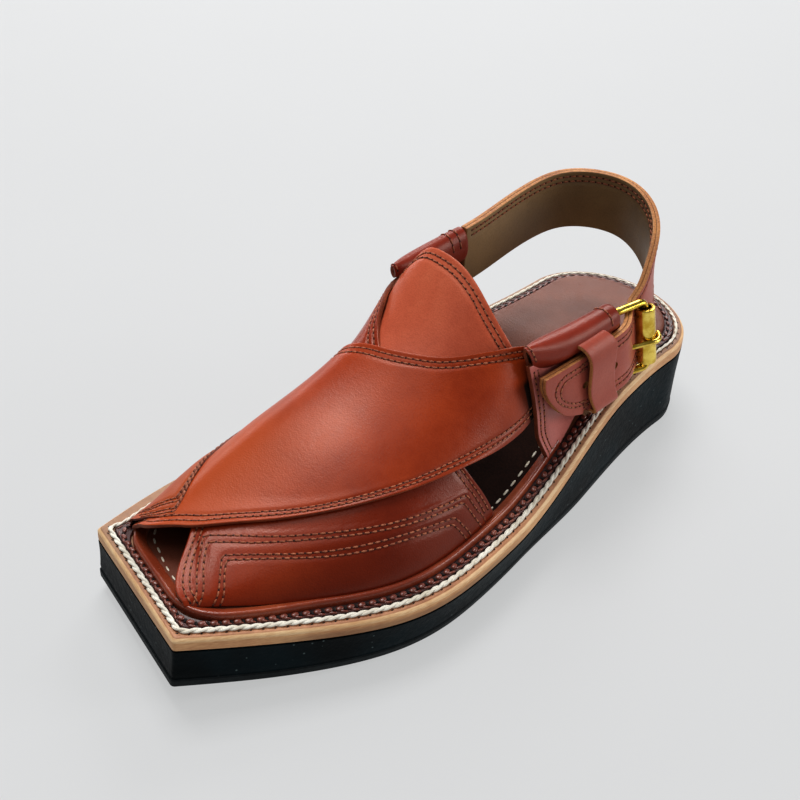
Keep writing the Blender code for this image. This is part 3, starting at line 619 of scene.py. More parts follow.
SOCKETS = {"glow": "Emission Color", "glow_strength": "Emission Strength", "metallic": "Metallic",
           "shine": "Specular IOR Level", "shine_colour": "Specular Tint"}


def finish_of(name, recipe, **fixed):
    """Material whose varying sockets come from a recipe and whose others are plain numbers."""
    made = bpy.data.materials.new(name)
    made.use_nodes = True
    tree = made.node_tree
    shader = tree.nodes["Principled BSDF"]
    spot = tree.nodes.new("ShaderNodeTexCoord")
    varying = recipe(Wire(tree, spot.outputs["Object"]), Wire(tree, spot.outputs["UV"]))
    for key, wire in varying.items():
        tree.links.new(wire.socket, shader.inputs[key])
    for key, value in fixed.items():
        shader.inputs[SOCKETS[key]].default_value = value
    return made


def hide_recipe(deep, middle, light, gloss, grain=0.00008, zones=()):
    """Waxed leather: slow clouds of colour, fine pores and faint drag marks."""
    def recipe(at, along):
        cloud = at.noise(22.0, 3.0, 0.55)
        mottle = at.noise(260.0, 4.0, 0.65)
        pores = at.cells(1500.0)
        drag = at.stretched(1.0, 0.35, 1.0).noise(900.0, 3.0, 0.6)
        shade = cloud * 0.86 + mottle * 0.14
        body = shade.between(0.20, 0.56).blend(deep, middle)
        body = shade.between(0.50, 0.80).blend(body, light)
        body = (pores.between(0.45, 0.75) * 0.16 + drag.between(0.52, 0.75) * 0.12).blend(body, deep)
        polish = gloss + (mottle - 0.5) * 0.16 + (drag - 0.5) * 0.10
        for zone, colour, duller in zones:
            share = zone(at)
            body = share.blend(body, colour)
            polish = polish + share * duller
        height = pores * 0.5 + drag * 0.6 + mottle * 0.5
        return {"Base Color": body, "Roughness": polish, "Normal": height.bump(grain, 0.8)}
    return recipe


def fibre_recipe(dark, light, gloss):
    """Cut edge or flesh side: short fibres and layers."""
    def recipe(at, along):
        fibre = at.stretched(1.0, 1.0, 4.0).noise(900.0, 4.0, 0.65)
        patch = at.noise(70.0, 3.0)
        body = (fibre * 0.65 + patch * 0.35).between(0.32, 0.68).blend(dark, light)
        return {"Base Color": body, "Roughness": gloss + (fibre - 0.5) * 0.2,
                "Normal": fibre.bump(0.00012, 0.8)}
    return recipe


def rubber_recipe(at, along):
    """Crepe rubber with a fine skin and a scatter of pale specks."""
    skin = at.noise(420.0, 5.0, 0.6)
    patch = at.noise(28.0, 3.0)
    speck = 1.0 - at.cells(330.0).between(0.09, 0.17)
    chosen = at.cells(330.0, 1).part("X").between(0.66, 0.70)
    body = patch.between(0.35, 0.65).blend(tint(4, 10, 13), tint(9, 25, 30))
    body = (speck * chosen * 0.55).blend(body, tint(104, 120, 120))
    return {"Base Color": body, "Roughness": 0.46 + (skin - 0.5) * 0.3, "Normal": skin.bump(0.0003, 0.8)}


def tread_recipe(at, along):
    skin = at.noise(600.0, 4.0, 0.6)
    patch = at.noise(40.0, 3.0)
    body = (patch * 0.5 + skin * 0.5).between(0.35, 0.65).blend(tint(14, 19, 21), tint(30, 37, 39))
    return {"Base Color": body, "Roughness": 0.6 + (skin - 0.5) * 0.2, "Normal": skin.bump(0.0002, 0.7)}


def welt_recipe(at, along):
    """Veg-tanned board: pinkish face, light edge, and painted shade on the lower part of its outer side
    along the ball.
    """
    streak = at.stretched(1.0, 1.0, 9.0).noise(260.0, 4.0, 0.6)
    patch = at.noise(30.0, 3.0)
    tone = (streak * 0.55 + patch * 0.45).between(0.35, 0.66)
    up = along.part("Y")
    side = tone.blend(tint(186, 130, 84), tint(226, 178, 126))
    edge = tone.blend(tint(214, 168, 120), tint(240, 206, 160))
    top = tone.blend(tint(158, 104, 70), tint(192, 138, 100))
    back = 1.0 - at.part("X").between(-0.10, -0.02)
    far = 1.0 - at.part("Y").between(-0.040, -0.020)
    top = (back * 0.7).blend(top, tint(140, 112, 92))
    top = (far * 0.6).blend(top, tint(146, 114, 86))
    body = up.between(0.0042, 0.0047).blend(side, edge)
    body = up.between(0.0062, 0.0067).blend(body, top)
    # painted shade on the lower part of the outer side, along the ball
    low = 1.0 - along.part("Y").between(0.0022, 0.0042)
    ball = at.part("X").between(-0.005, 0.03) * (1.0 - at.part("X").between(0.10, 0.125))
    ball = ball * at.part("Y").between(0.0, 0.02)
    body = (low * ball * 0.55).blend(body, tint(112, 74, 42))
    return {"Base Color": body, "Roughness": 0.52 + (streak - 0.5) * 0.2, "Normal": streak.bump(0.0001, 0.7)}


def cord_recipe(at, along):
    fibre = along.stretched(1.0, 0.25, 1.0).noise(2600.0, 3.0, 0.6)
    patch = at.noise(120.0, 3.0)
    body = (fibre * 0.4 + patch * 0.6).between(0.3, 0.7).blend(tint(205, 196, 176), tint(244, 240, 228))
    return {"Base Color": body, "Roughness": 0.72 + (fibre - 0.5) * 0.2,
            "Normal": fibre.bump(0.00012, 0.8)}


def brass_recipe(at, along):
    """Bright plated brass, a little cloudy, with fine polishing lines."""
    line = at.stretched(1.0, 1.0, 0.12).noise(3200.0, 3.0, 0.6)
    cloud = at.noise(240.0, 4.0)
    body = cloud.between(0.35, 0.65).blend(tint(200, 166, 62), tint(238, 212, 110))
    return {"Base Color": body, "Roughness": 0.22 + (cloud - 0.5) * 0.12, "Normal": line.bump(0.000006, 0.5)}


def two_tone(dark, light, gloss, scale=500.0):
    def recipe(at, along):
        grain = at.noise(scale, 3.0, 0.6)
        body = grain.between(0.35, 0.65).blend(dark, light)
        return {"Base Color": body, "Roughness": gloss + (grain - 0.5) * 0.2,
                "Normal": grain.bump(0.00006, 0.6)}
    return recipe


def painted_foot_shade(at):
    """Painted shade: the lower outer side made darker towards the foot."""
    near = at.part("Y").between(-0.004, 0.034) * (1.0 - at.part("Z").between(0.030, 0.080))
    return near * 0.66


def painted_shade_under_bands(at):
    """Painted shade on the insole from the tongue forward to the ball, where the bands cover it."""
    return at.part("X").between(-0.072, -0.0455) * (1.0 - at.part("X").between(0.094, 0.117))


def painted_light_toe_end(at):
    """Painted light: the far side of the toe end, which faces the key light, made lighter and warmer."""
    return at.part("X").between(0.030, 0.085) * (1.0 - at.part("Y").between(-0.022, 0.008)) * 0.75


def by_quarter(at):
    """Black shadow line of the over band along the outer quarter's front edge."""
    ahead = at.part("X") - at.part("Z") * 0.10 + 0.0284
    soft = (1.0 - ahead.between(0.0028, 0.0105)) * 0.55
    line = 1.0 - ahead.between(0.0026, 0.0035)
    outer = at.part("Y").between(0.016, 0.022) * (1.0 - at.part("Z").between(0.0670, 0.0705))
    return (soft + line * (1.0 - soft)) * outer


TAN = (tint(138, 44, 16), tint(174, 68, 28), tint(196, 90, 40))
WARM_SHINE = (1.0, 0.84, 0.74, 1.0)
# Zones of a finish: where they lie, their colour, and how much duller they are. Each zone paints light or
# shade into the leather's colour.
OVER_ZONES = (
    # painted light on the far side of the toe end
    (painted_light_toe_end, tint(178, 75, 22), 0.04),
    # painted shade on the lower outer side of the over band
    (painted_foot_shade, tint(96, 28, 8), 0.06),
    (by_quarter, tint(22, 7, 6), 0.3),
)
# painted shade on the lower outer side of the under band
UNDER_ZONES = ((painted_foot_shade, tint(88, 24, 8), 0.06),)
# painted shade on the insole under the bands
INSOLE_ZONES = ((painted_shade_under_bands, tint(22, 11, 9), 0.48),)
INSOLE_GRAIN = 0.00007


def warm_hide(deep, middle, light, gloss, shine, zones=()):
    """Waxed leather of the upper, with a warm shine."""
    return hide_recipe(deep, middle, light, gloss, zones=zones), {"shine": shine, "shine_colour": WARM_SHINE}


LOOKS_ROWS = {
    "tan_face": warm_hide(*TAN, 0.35, 0.38),
    "over_face": warm_hide(*TAN, 0.33, 0.32, OVER_ZONES),
    "under_face": warm_hide(tint(116, 34, 12), tint(152, 52, 20), tint(172, 68, 30), 0.28, 0.3, UNDER_ZONES),
    "patch_face": warm_hide(tint(134, 50, 14), tint(168, 72, 22), tint(186, 92, 36), 0.40, 0.3),
    # painted light: the tan leather, made lighter on the tongue as if the light fell on it
    "tongue_face": warm_hide(tint(162, 64, 42), tint(206, 102, 70), tint(226, 130, 94), 0.36, 0.38),
    "roll_face": warm_hide(tint(100, 30, 18), tint(136, 48, 31), tint(160, 68, 47), 0.36, 0.30),
    # painted sheen: the quarter's leather made pink and light, as reflected light would show it
    "quarter_face_painted_sheen": (hide_recipe(tint(160, 82, 72), tint(200, 118, 108), tint(216, 148, 136), 0.40),
                     {"shine": 0.5}),
    "tan_edge": (fibre_recipe(tint(104, 42, 20), tint(152, 76, 40), 0.55), {}),
    "dark_edge": (fibre_recipe(tint(70, 26, 16), tint(132, 58, 30), 0.6), {}),
    "flesh_side": (fibre_recipe(tint(92, 60, 40), tint(136, 96, 64), 0.85), {}),
    "lip_leather": (hide_recipe(tint(86, 32, 17), tint(138, 59, 35), tint(176, 95, 60), 0.24),
                    {"shine": 0.5}),
    "maroon_face": (hide_recipe(tint(38, 13, 11), tint(66, 25, 20), tint(94, 40, 32), 0.40), {}),
    "bead_leather": (hide_recipe(tint(64, 26, 20), tint(120, 60, 46), tint(160, 96, 76), 0.30),
                     {"shine": 0.6}),
    "insole_face": (hide_recipe(tint(82, 40, 28), tint(112, 62, 46), tint(138, 84, 66), 0.42, INSOLE_GRAIN,
                                INSOLE_ZONES), {"shine": 0.22, "shine_colour": (1.0, 0.88, 0.80, 1.0)}),
    # painted shade: the insole's own leather, made dark where the bands shadow it
    "insole_painted_shade": (fibre_recipe(tint(24, 13, 10), tint(44, 25, 19), 0.85), {"shine": 0.06}),
    "lining_face": (hide_recipe(tint(98, 76, 50), tint(146, 116, 76), tint(182, 150, 104), 0.5), {}),
    # the strap's own red-brown, made pinker in part as painted sheen; the keeper wears it too
    "strap_face_and_sheen": (hide_recipe(tint(128, 54, 42), tint(166, 82, 66), tint(188, 108, 90), 0.40),
                   {"shine": 0.3, "shine_colour": (1.0, 0.86, 0.78, 1.0)}),
    "strap_edge": (fibre_recipe(tint(148, 86, 42), tint(204, 144, 82), 0.6), {}),
    "welt_board": (welt_recipe, {}),
    "rubber": (rubber_recipe, {"shine": 0.05}),
    "tread_rubber": (tread_recipe, {"shine": 0.15}),
    "white_cord": (cord_recipe, {}),
    "gold_thread": (two_tone(tint(132, 66, 40), tint(178, 108, 72), 0.6, 900.0), {}),
    "white_thread": (two_tone(tint(196, 184, 160), tint(240, 234, 218), 0.7, 900.0), {}),
    "awl_hole": (two_tone(tint(12, 4, 3), tint(26, 9, 6), 0.9), {}),
    "needle_hole": (two_tone(tint(56, 20, 12), tint(82, 32, 18), 0.9), {}),
    "brass": (brass_recipe, {"metallic": 1.0}),
    "studio_floor": (two_tone(tint(103, 103, 104), tint(107, 107, 108), 0.8, 3.0),
                     {"glow": (0.53, 0.535, 0.535, 1.0), "glow_strength": 1.0}),
}
LOOKS = {name: finish_of(name, recipe, **fixed) for name, (recipe, fixed) in LOOKS_ROWS.items()}


# ---- laying and shaping pieces --------------------------------------------------------
SHIFT = np.array([SHIFT_X, SHIFT_Y, 0.0])


def place(points):
    """Millimetres on the shoe to metres in the frame."""
    return (np.asarray(points, float) + SHIFT) * MM


def point_on(low, high, share):
    return np.array(low) + (np.array(high) - np.array(low)) * share


def unit(vectors):
    return vectors / np.maximum(np.linalg.norm(vectors, axis=-1), 1e-9)[..., None]


def pick(piece):
    """Make a piece the only thing selected."""
    bpy.ops.object.select_all(action="DESELECT")
    piece.select_set(True)
    bpy.context.view_layer.objects.active = piece


def run_lengths(points, axis):
    """Distance of each grid point from the edge it is counted from."""
    hop = np.linalg.norm(np.diff(points, axis=axis), axis=2)
    first = np.zeros_like(np.take(hop, [0], axis=axis))
    return np.concatenate([first, np.cumsum(hop, axis=axis)], axis=axis)


def laid(name, points, closed=False, caps=False, first_row=0):
    """Grid whose points are laid on a surface; a closed one is merged where its edges meet."""
    rows, across = points.shape[:2]
    bpy.ops.object.select_all(action="DESELECT")
    bpy.ops.mesh.primitive_grid_add(x_subdivisions=across - 1, y_subdivisions=rows - 1, size=0.1)
    piece = bpy.context.active_object
    piece.name = name
    mesh = piece.data
    mesh.name = name
    mesh.vertices.foreach_set("co", place(points).astype(np.float32).reshape(-1))
    up = run_lengths(points, 0)
    reach = np.stack([run_lengths(points, 1), up - up[first_row:first_row + 1]], axis=2) * MM
    corner = np.zeros(len(mesh.loops), np.int32)
    mesh.loops.foreach_get("vertex_index", corner)
    flat = reach.reshape(-1, 2)[corner]
    mesh.uv_layers[0].data.foreach_set("uv", flat.astype(np.float32).reshape(-1))
    mesh.update()
    if closed:
        pick(piece)
        bpy.ops.object.mode_set(mode="EDIT")
        bpy.ops.mesh.select_all(action="SELECT")
        bpy.ops.mesh.remove_doubles(threshold=2e-6)
        if caps:
            bpy.ops.mesh.select_all(action="SELECT")
            bpy.ops.mesh.fill_holes(sides=0)
        bpy.ops.mesh.select_all(action="SELECT")
        bpy.ops.mesh.normals_make_consistent(inside=False)
        bpy.ops.object.mode_set(mode="OBJECT")
    return piece


def modify(piece, kind, **settings):
    """Put a modifier on a piece and apply it."""
    pick(piece)
    step = piece.modifiers.new(kind.lower(), kind)
    for key, value in settings.items():
        setattr(step, key, value)
    bpy.ops.object.modifier_apply(modifier=step.name)


def thicken(piece, wall, edge, clamped):
    """Wall of a sheet, its cut edges in the second look and its back in the third."""
    modify(piece, "SOLIDIFY", thickness=wall * MM, offset=-1.0, use_rim=True,
           material_offset=2, material_offset_rim=1)
    modify(piece, "BEVEL", width=edge * MM, segments=2, limit_method="ANGLE",
           angle_limit=math.radians(50), use_clamp_overlap=clamped)


def paint(piece, looks):
    for look in looks:
        piece.data.materials.append(LOOKS[look])


def settle(piece, nodes=(), angle=42.0):
    """Smooth shading, the body it rides on and the nodes it stands for."""
    pick(piece)
    bpy.ops.object.shade_smooth_by_angle(angle=math.radians(angle))
    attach(piece, "root")
    if nodes:
        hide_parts(*nodes)
    return piece


def grid_normals(points):
    return unit(np.cross(np.gradient(points, axis=1), np.gradient(points, axis=0)))


def tree_of(points):
    tree = KDTree(len(points))
    for index, point in enumerate(points):
        tree.insert(Vector(point), index)
    tree.balance()
    return tree


def reach_to(points, lines):
    """Distance from each grid point to the nearest of some lines."""
    dense = [resample(line, max(3, int(line_length(line) / 0.5))) for line in lines]
    tree = tree_of(np.concatenate(dense))
    flat = points.reshape(-1, 3)
    return np.array([tree.find(Vector(point))[2] for point in flat]).reshape(points.shape[:2])


def line_length(line):
    return float(np.linalg.norm(np.diff(line, axis=0), axis=1).sum())


def facing(points, toward):
    """Turn a grid so that its normal looks toward a direction at its middle."""
    middle = grid_normals(points)[points.shape[0] // 2, points.shape[1] // 2]
    return points if np.dot(middle, toward) > 0 else points[:, ::-1]


def leather(name, face, wall, toward, looks, rows=(), edge=0.35, nodes=(), holes=()):
    """Bent sheet: its good face sunk along the stitch rows, then its thickness and soft edges."""
    points = facing(face, toward)
    if rows:
        sink = GROOVE * np.exp(-(reach_to(points, rows) / GROOVE_REACH) ** 2)
        points = points - grid_normals(points) * sink[..., None]
    piece = laid(name, points)
    paint(piece, looks)
    skin = BVHTree.FromObject(piece, bpy.context.evaluated_depsgraph_get())
    for row in rows:
        sew(skin, row)
    thicken(piece, wall, edge, False)
    for spot, out, radius in holes:
        punch(piece, spot, out, radius, looks[1])
    return settle(piece, nodes)


def punch(piece, spot, out, radius, look):
    """Round hole through a sheet."""
    bpy.ops.object.select_all(action="DESELECT")
    bpy.ops.mesh.primitive_cylinder_add(vertices=28, radius=radius * MM, depth=16.0 * MM)
    cutter = bpy.context.active_object
    turn = Vector(out).to_track_quat("Z", "Y").to_matrix().to_4x4()
    cutter.data.transform(Matrix.Translation(Vector(place(np.array([spot]))[0])) @ turn)
    paint(cutter, [look])
    modify(piece, "BOOLEAN", object=cutter, operation="DIFFERENCE", solver="EXACT", material_mode="TRANSFER")
    bpy.data.objects.remove(cutter, do_unlink=True)


def swept(name, line, up, section, closed=False, scale=1.0):
    """Moulding: a closed section carried along a line, standing square to it."""
    line = np.asarray(line, float)
    if closed:
        ahead = unit(np.roll(line, -1, axis=0) - np.roll(line, 1, axis=0))
    else:
        ahead = unit(np.gradient(line, axis=0))
    side = unit(np.cross(ahead, up))
    top = np.cross(side, ahead)
    ring = np.concatenate([section, section[:1]])
    scale = (np.ones(len(line)) * scale)[:, None]
    side, top = side * scale, top * scale
    points = line[:, None] + side[:, None] * ring[None, :, :1] + top[:, None] * ring[None, :, 1:]
    if closed:
        points = np.concatenate([points, points[:1]])
    return laid(name, points, closed=True, caps=not closed)


def oval(wide, high, sides):
    angle = np.arange(sides) * 2.0 * math.pi / sides
    return np.stack([wide * np.cos(angle), high * np.sin(angle)], axis=1)


# ---- stitches -------------------------------------------------------------------------
STITCH = 2.9                 # from one needle hole to the next
PATH_STEP = 0.8              # from one point of a stitch row's line to the next
GROOVE = 0.42                # how far a row of stitches sinks into the leather
GROOVE_REACH = 0.85
threads = []
needle_holes = []


def on_skin(skin, points):
    """Nearest places on a surface, and the surface's direction there."""
    spots = []
    normals = []
    for point in place(points):
        spot, normal = skin.find_nearest(Vector(point))[:2]
        spots.append(spot)
        normals.append(normal)
    return np.array(spots) / MM - SHIFT, np.array(normals)


def sew(skin, line):
    """Row of stitches: a needle hole at each step and a thread lying between two of them."""
    count = max(2, int(round(line_length(line) / STITCH)))
    spots, normals = on_skin(skin, resample(line, 2 * count + 1))
    ahead = unit(np.gradient(spots, axis=0))
    side = unit(np.cross(normals, ahead))
    frames = np.stack([spots, ahead, side, np.cross(ahead, side)], axis=1)
    threads.append(frames[1::2])
    needle_holes.append(frames[0::2])


def unit_shape(segments, rings, fullness=1.0):
    """Points and faces of a small round pattern shape, lying along its first axis."""
    bpy.ops.object.select_all(action="DESELECT")
    bpy.ops.mesh.primitive_uv_sphere_add(segments=segments, ring_count=rings, radius=1.0)
    pattern = bpy.context.active_object
    points = np.array([vertex.co[:] for vertex in pattern.data.vertices])[:, [2, 0, 1]]
    points = np.sign(points) * np.abs(points) ** fullness
    faces = [tuple(face.vertices) for face in pattern.data.polygons]
    bpy.data.objects.remove(pattern, do_unlink=True)
    return points, faces


def repeated(name, shape, frames, size, look, lift=0.0):
    """One shape set at many places on the shoe, as one joined mesh."""
    points, faces = shape
    frames = np.concatenate(frames)
    local = points * np.asarray(size)
    local[:, 2] += lift
    spots = frames[:, 0][:, None] + np.einsum("pk,nkd->npd", local, frames[:, 1:4])
    index = np.arange(len(frames)) * len(points)
    all_faces = [tuple(corner + start for corner in face) for start in index.tolist() for face in faces]
    mesh = bpy.data.meshes.new(name)
    mesh.from_pydata(place(spots.reshape(-1, 3)).tolist(), [], all_faces)
    piece = bpy.data.objects.new(name, mesh)
    bpy.context.scene.collection.objects.link(piece)
    paint(piece, [look])
    return settle(piece, angle=60.0)


def path(legs, lift):
    """Line over the last along smooth legs of stations and angles, its corners a little rounded."""
    table = np.concatenate([column_curves(leg, 40) for leg in legs])
    spots = last_point(table[:, 0], table[:, 1], lift)
    hop = np.concatenate([[0.0], np.cumsum(np.linalg.norm(np.diff(spots, axis=0), axis=1) + 1e-6)])
    at = np.linspace(0.0, hop[-1], int(hop[-1] / PATH_STEP) + 2)
    x = np.interp(at, hop, table[:, 0])
    angle = np.interp(at, hop, table[:, 1])
    for _ in range(3):
        x[1:-1] = (x[:-2] + 2.0 * x[1:-1] + x[2:]) / 4.0
        angle[1:-1] = (angle[:-2] + 2.0 * angle[1:-1] + angle[2:]) / 4.0
    return last_point(x, angle, lift)


def beside(points, edge, distance, start=0.0, stop=1.0):
    """Line at a distance in from an edge of a grid: 0 is its first column, 1 its last."""
    face = points if edge == 0 else points[:, ::-1]
    reach = run_lengths(face, 1)
    line = []
    for i in range(int(start * (len(face) - 1)), int(stop * (len(face) - 1)) + 1):
        line.append([np.interp(distance, reach[i], face[i, :, k]) for k in range(3)])
    return np.array(line)


# ---- sole -----------------------------------------------------------------------------
def spine_of(ring):
    """Line along the middle of a plan ring that its points run in to."""
    half = RING_COUNT // 2
    middle = (ring + np.roll(ring[::-1], 1, axis=0)) / 2
    last = half - CORNER_STEPS - FRONT_STEPS
    for i in range(last, half + 1):
        share = 0.6 * (i - last) / (half - last)
        middle[i] = middle[last] * (1 - share) + ring[half] * share
        middle[(RING_COUNT - i) % RING_COUNT] = middle[i]
    return middle


def cap(ring, height, steps):
    """Rings that run from a plan ring in to its spine, at a height that depends on x."""
    inner = spine_of(ring)
    rings = []
    for share in np.linspace(0.0, 1.0, steps + 1)[1:]:
        layer = ring * (1 - share) + inner * share
        layer[:, 2] = ring[:, 2] * (1 - share) + inner[:, 2] * share
        layer[:, 2] = ring[:, 2] + height(layer[:, 0]) - height(ring[:, 0])
        rings.append(layer)
    return rings


# The insole between these two takes its painted shade.
SHADE_START = -0.0445        # frame x between which the insole is dark and unpolished
SHADE_END = 0.082


def board(name, edges, low, high, looks, nodes, steps=6):
    """Solid board from rings stacked upward, closed under and over."""
    under = cap(edges[0], low, 4)[::-1]
    over = cap(edges[-1], high, steps)
    rings = np.stack(under + list(edges) + over)
    piece = laid(name, np.concatenate([rings, rings[:, :1]], axis=1), closed=True, first_row=4)
    paint(piece, looks)
    # a second look, where given, goes on the faces between SHADE_START and SHADE_END: the insole's painted
    # shade
    if len(looks) > 1:
        for face in piece.data.polygons:
            face.material_index = int(SHADE_START < face.center.x < SHADE_END)
    return settle(piece, nodes, angle=35.0)


def tread_top(x):
    return sole_bottom(x) + TREAD


def ring_at(inset, height, corner=1.4):
    return raised_ring(plan_ring(inset, corner), height)


board("sole_tread", [
    ring_at(lambda x: rubber_taper(x) + 0.6, sole_bottom),
    ring_at(rubber_taper, lambda x: sole_bottom(x) + 0.5),
    ring_at(lambda x: rubber_taper(x) * 0.86 - 0.15, lambda x: tread_top(x) - 0.5),
    ring_at(lambda x: rubber_taper(x) * 0.85 + 0.35, tread_top),
], sole_bottom, tread_top, ["tread_rubber"], ["sole_tread"])

WEDGE_WAIST = 0.25           # the rubber's wall is hollow by this much at half its height
wedge_edges = [ring_at(lambda x: rubber_taper(x) * 0.85 + 0.4, tread_top)]
for share in np.linspace(0.0, 1.0, 9):
    waist = WEDGE_WAIST * math.sin(math.pi * share) + (WEDGE_WAIST if share == 0 else 0.0)
    wedge_edges.append(ring_at(
        lambda x, share=share, waist=waist: waist + rubber_taper(x) * 0.83 * (1 - share),
        lambda x, share=share: tread_top(x) + 0.4 + (wedge_top(x) - tread_top(x) - 0.7) * share))
wedge_edges.append(ring_at(0.5, wedge_top))
board("sole_wedge", wedge_edges, tread_top, wedge_top, ["rubber"], ["sole_wedge"])

board("welt_board", [
    ring_at(0.5, welt_bottom),
    ring_at(0.05, lambda x: welt_bottom(x) + 0.4),
    ring_at(0.0, lambda x: welt_bottom(x) + 1.6),
    ring_at(0.0, lambda x: welt_bottom(x) + 3.0),
    ring_at(0.05, lambda x: welt_top(x) - 1.5),
    ring_at(0.35, lambda x: welt_top(x) - 1.0),
    ring_at(1.2, lambda x: welt_top(x) - 0.15),
    ring_at(1.7, welt_top),
    ring_at(3.0, welt_top),
], welt_bottom, welt_top, ["welt_board"], ["welt_board"])


def padded_top(x):
    """Top of the insole, which is thicker under the heel."""
    return insole_top(x) + HEEL_PAD * smooth_step(20.0, -30.0, x)


HEEL_PAD = 0.8
insole_edges = []
for inward, down in ((0.0, 1.9), (0.0, 0.7), (0.25, 0.2), (0.8, 0.0), (3.0, 0.0)):
    insole_edges.append(ring_at(lambda x, inward=inward: insole_inset(x) + inward,
                                lambda x, down=down: padded_top(x) - down, 9.0))
board("insole", insole_edges, welt_top, padded_top, ["insole_face", "insole_painted_shade"],
      ["insole"], steps=24)


# ---- stitched strip, cord and lip ---------------------------------------------------------
FAR_DRAW = 2.6               # the sewing lies this much further in along the inner side of the toe


def drawn_in(ring):
    """The same line, moved in from the sole's edge along the inner side of the toe."""
    x, y = ring[:, 0], ring[:, 1]
    near_toe = smooth_step(24.0, 58.0, x) * smooth_step(129.0, 119.0, x)
    moved = ring.copy()
    moved[:, 1] += FAR_DRAW * near_toe * smooth_step(-15.0, -30.0, y)
    return moved


def even_ring(inset, height, count, corner=3.0):
    """Closed line round the sole at even steps of its own length."""
    ring = drawn_in(ring_at(inset, height, corner))
    return resample(np.concatenate([ring, ring[:1]]), count + 1)[:-1]


def ring_frames(line):
    """Place, way ahead, way in and up at each point of a closed line round the sole."""
    ahead = unit(np.roll(line, -1, axis=0) - np.roll(line, 1, axis=0))
    side = unit(np.cross((0.0, 0.0, 1.0), ahead))
    return np.stack([line, ahead, side, np.cross(ahead, side)], axis=1)


def turned(frames, degrees):
    """The same places, each turned about its own upright."""
    c, s = math.cos(math.radians(degrees)), math.sin(math.radians(degrees))
    return np.stack([frames[:, 0], frames[:, 1] * c + frames[:, 2] * s, frames[:, 2] * c - frames[:, 1] * s,
                     frames[:, 3]], axis=1)


strip_rings = []
for inset, up in ((0.0, 0.05), (0.0, 0.75), (0.3, 1.1), (1.0, 1.05), (1.9, 0.85)):
    strip_rings.append(ring_at(STRIP_OUTER + inset, lambda x, up=up: welt_top(x) + up, 3.0))
for inset, up in ((1.0, 0.85), (0.3, 1.1), (0.0, 0.8), (0.0, 0.05)):
    strip_rings.append(ring_at(lambda x, inset=inset: strip_inset(x) + 0.6 - inset,
                               lambda x, up=up: welt_top(x) + up, 13.0))
strip_rings.append(strip_rings[0])
strip_grid = np.stack([drawn_in(ring) for ring in strip_rings])
strip = laid("stitched_strip", np.concatenate([strip_grid, strip_grid[:, :1]], axis=1), closed=True)
paint(strip, ["maroon_face"])
settle(strip, ["stitched_strip"])


def slimmer(line):
    """The sewing is finer along the inner side, by this share."""
    inner = 0.36 * smooth_step(-6.0, -26.0, line[:, 1]) * smooth_step(133.0, 118.0, line[:, 0])
    return 1.0 - np.maximum(inner, 0.42 * smooth_step(-80.0, -115.0, line[:, 0]))


def scaled(frames):
    share = slimmer(frames[:, 0])[:, None, None]
    return np.concatenate([frames[:, :1], frames[:, 1:2], frames[:, 2:] * share], axis=1)


CORD_INSET = 3.8
CORD_LAY = 8.8               # one whole turn of a strand
CORD_HIGH = 0.75             # its middle over the welt
CORD_STEPS = 16              # points in one turn
CORD_SWING = (0.50, 0.36)    # how far a strand swings sideways and up


def closed_length(line):
    return line_length(np.concatenate([line, line[:1]]))


def cord_height(x):
    return welt_top(x) + CORD_HIGH


turns = int(round(closed_length(even_ring(CORD_INSET, cord_height, 400)) / CORD_LAY))
rope = even_ring(CORD_INSET, cord_height, turns * CORD_STEPS)
rope_frames = ring_frames(rope)
slim = slimmer(rope)
for number, start in enumerate((0.0, math.pi)):
    wind = start + np.arange(len(rope)) * 2.0 * math.pi / CORD_STEPS
    aside = (CORD_SWING[0] * slim * np.sin(wind))[:, None]
    above = (CORD_SWING[1] * slim * np.cos(wind))[:, None]
    strand = rope + rope_frames[:, 2] * aside + rope_frames[:, 3] * above
    piece = swept("welt_cord_%d" % (number + 1), strand, (0.0, 0.0, 1.0), oval(0.68, 0.5, 10),
                  closed=True, scale=slim)
    paint(piece, ["white_cord"])
    settle(piece)

bead = unit_shape(12, 8, 0.8)
pit = unit_shape(6, 4)
BEAD_PITCH = 4.25


def bead_ring(count):
    """Line of the beads, a little inside the middle of the strip."""
    return even_ring(lambda x: (STRIP_OUTER + strip_inset(x)) / 2 + 0.45, lambda x: welt_top(x) + 1.15,
                     count, 8.0)


bead_count = int(round(closed_length(bead_ring(400)) / BEAD_PITCH))
bead_frames = turned(ring_frames(bead_ring(2 * bead_count)), 16.0)
repeated("strip_beads", bead, [scaled(bead_frames[0::2])], (1.5, 1.08, 0.72), "bead_leather",
         0.1)
lace_line = even_ring(STRIP_OUTER + 0.75, lambda x: welt_top(x) + 1.1, 2 * bead_count)
lace_frames = ring_frames(lace_line)
repeated("strip_lace", bead, [scaled(turned(lace_frames[1::2], -14.0))], (1.5, 0.45, 0.4), "bead_leather",
         0.05)
repeated("strip_pits", pit, [scaled(bead_frames[1::2])], (0.62, 1.05, 0.38), "awl_hole")
awl_line = even_ring(CORD_INSET - 1.2, welt_top, 2 * turns)
repeated("welt_awl_holes", pit, [turned(ring_frames(awl_line), 25.0)], (0.6, 0.34, 0.1), "awl_hole")
seam_line = even_ring(STRIP_OUTER - 0.12, lambda x: welt_top(x) + 0.3, 700)
seam = swept("strip_seam", seam_line, (0.0, 0.0, 1.0), oval(0.22, 0.45, 8), closed=True)
paint(seam, ["awl_hole"])
settle(seam)

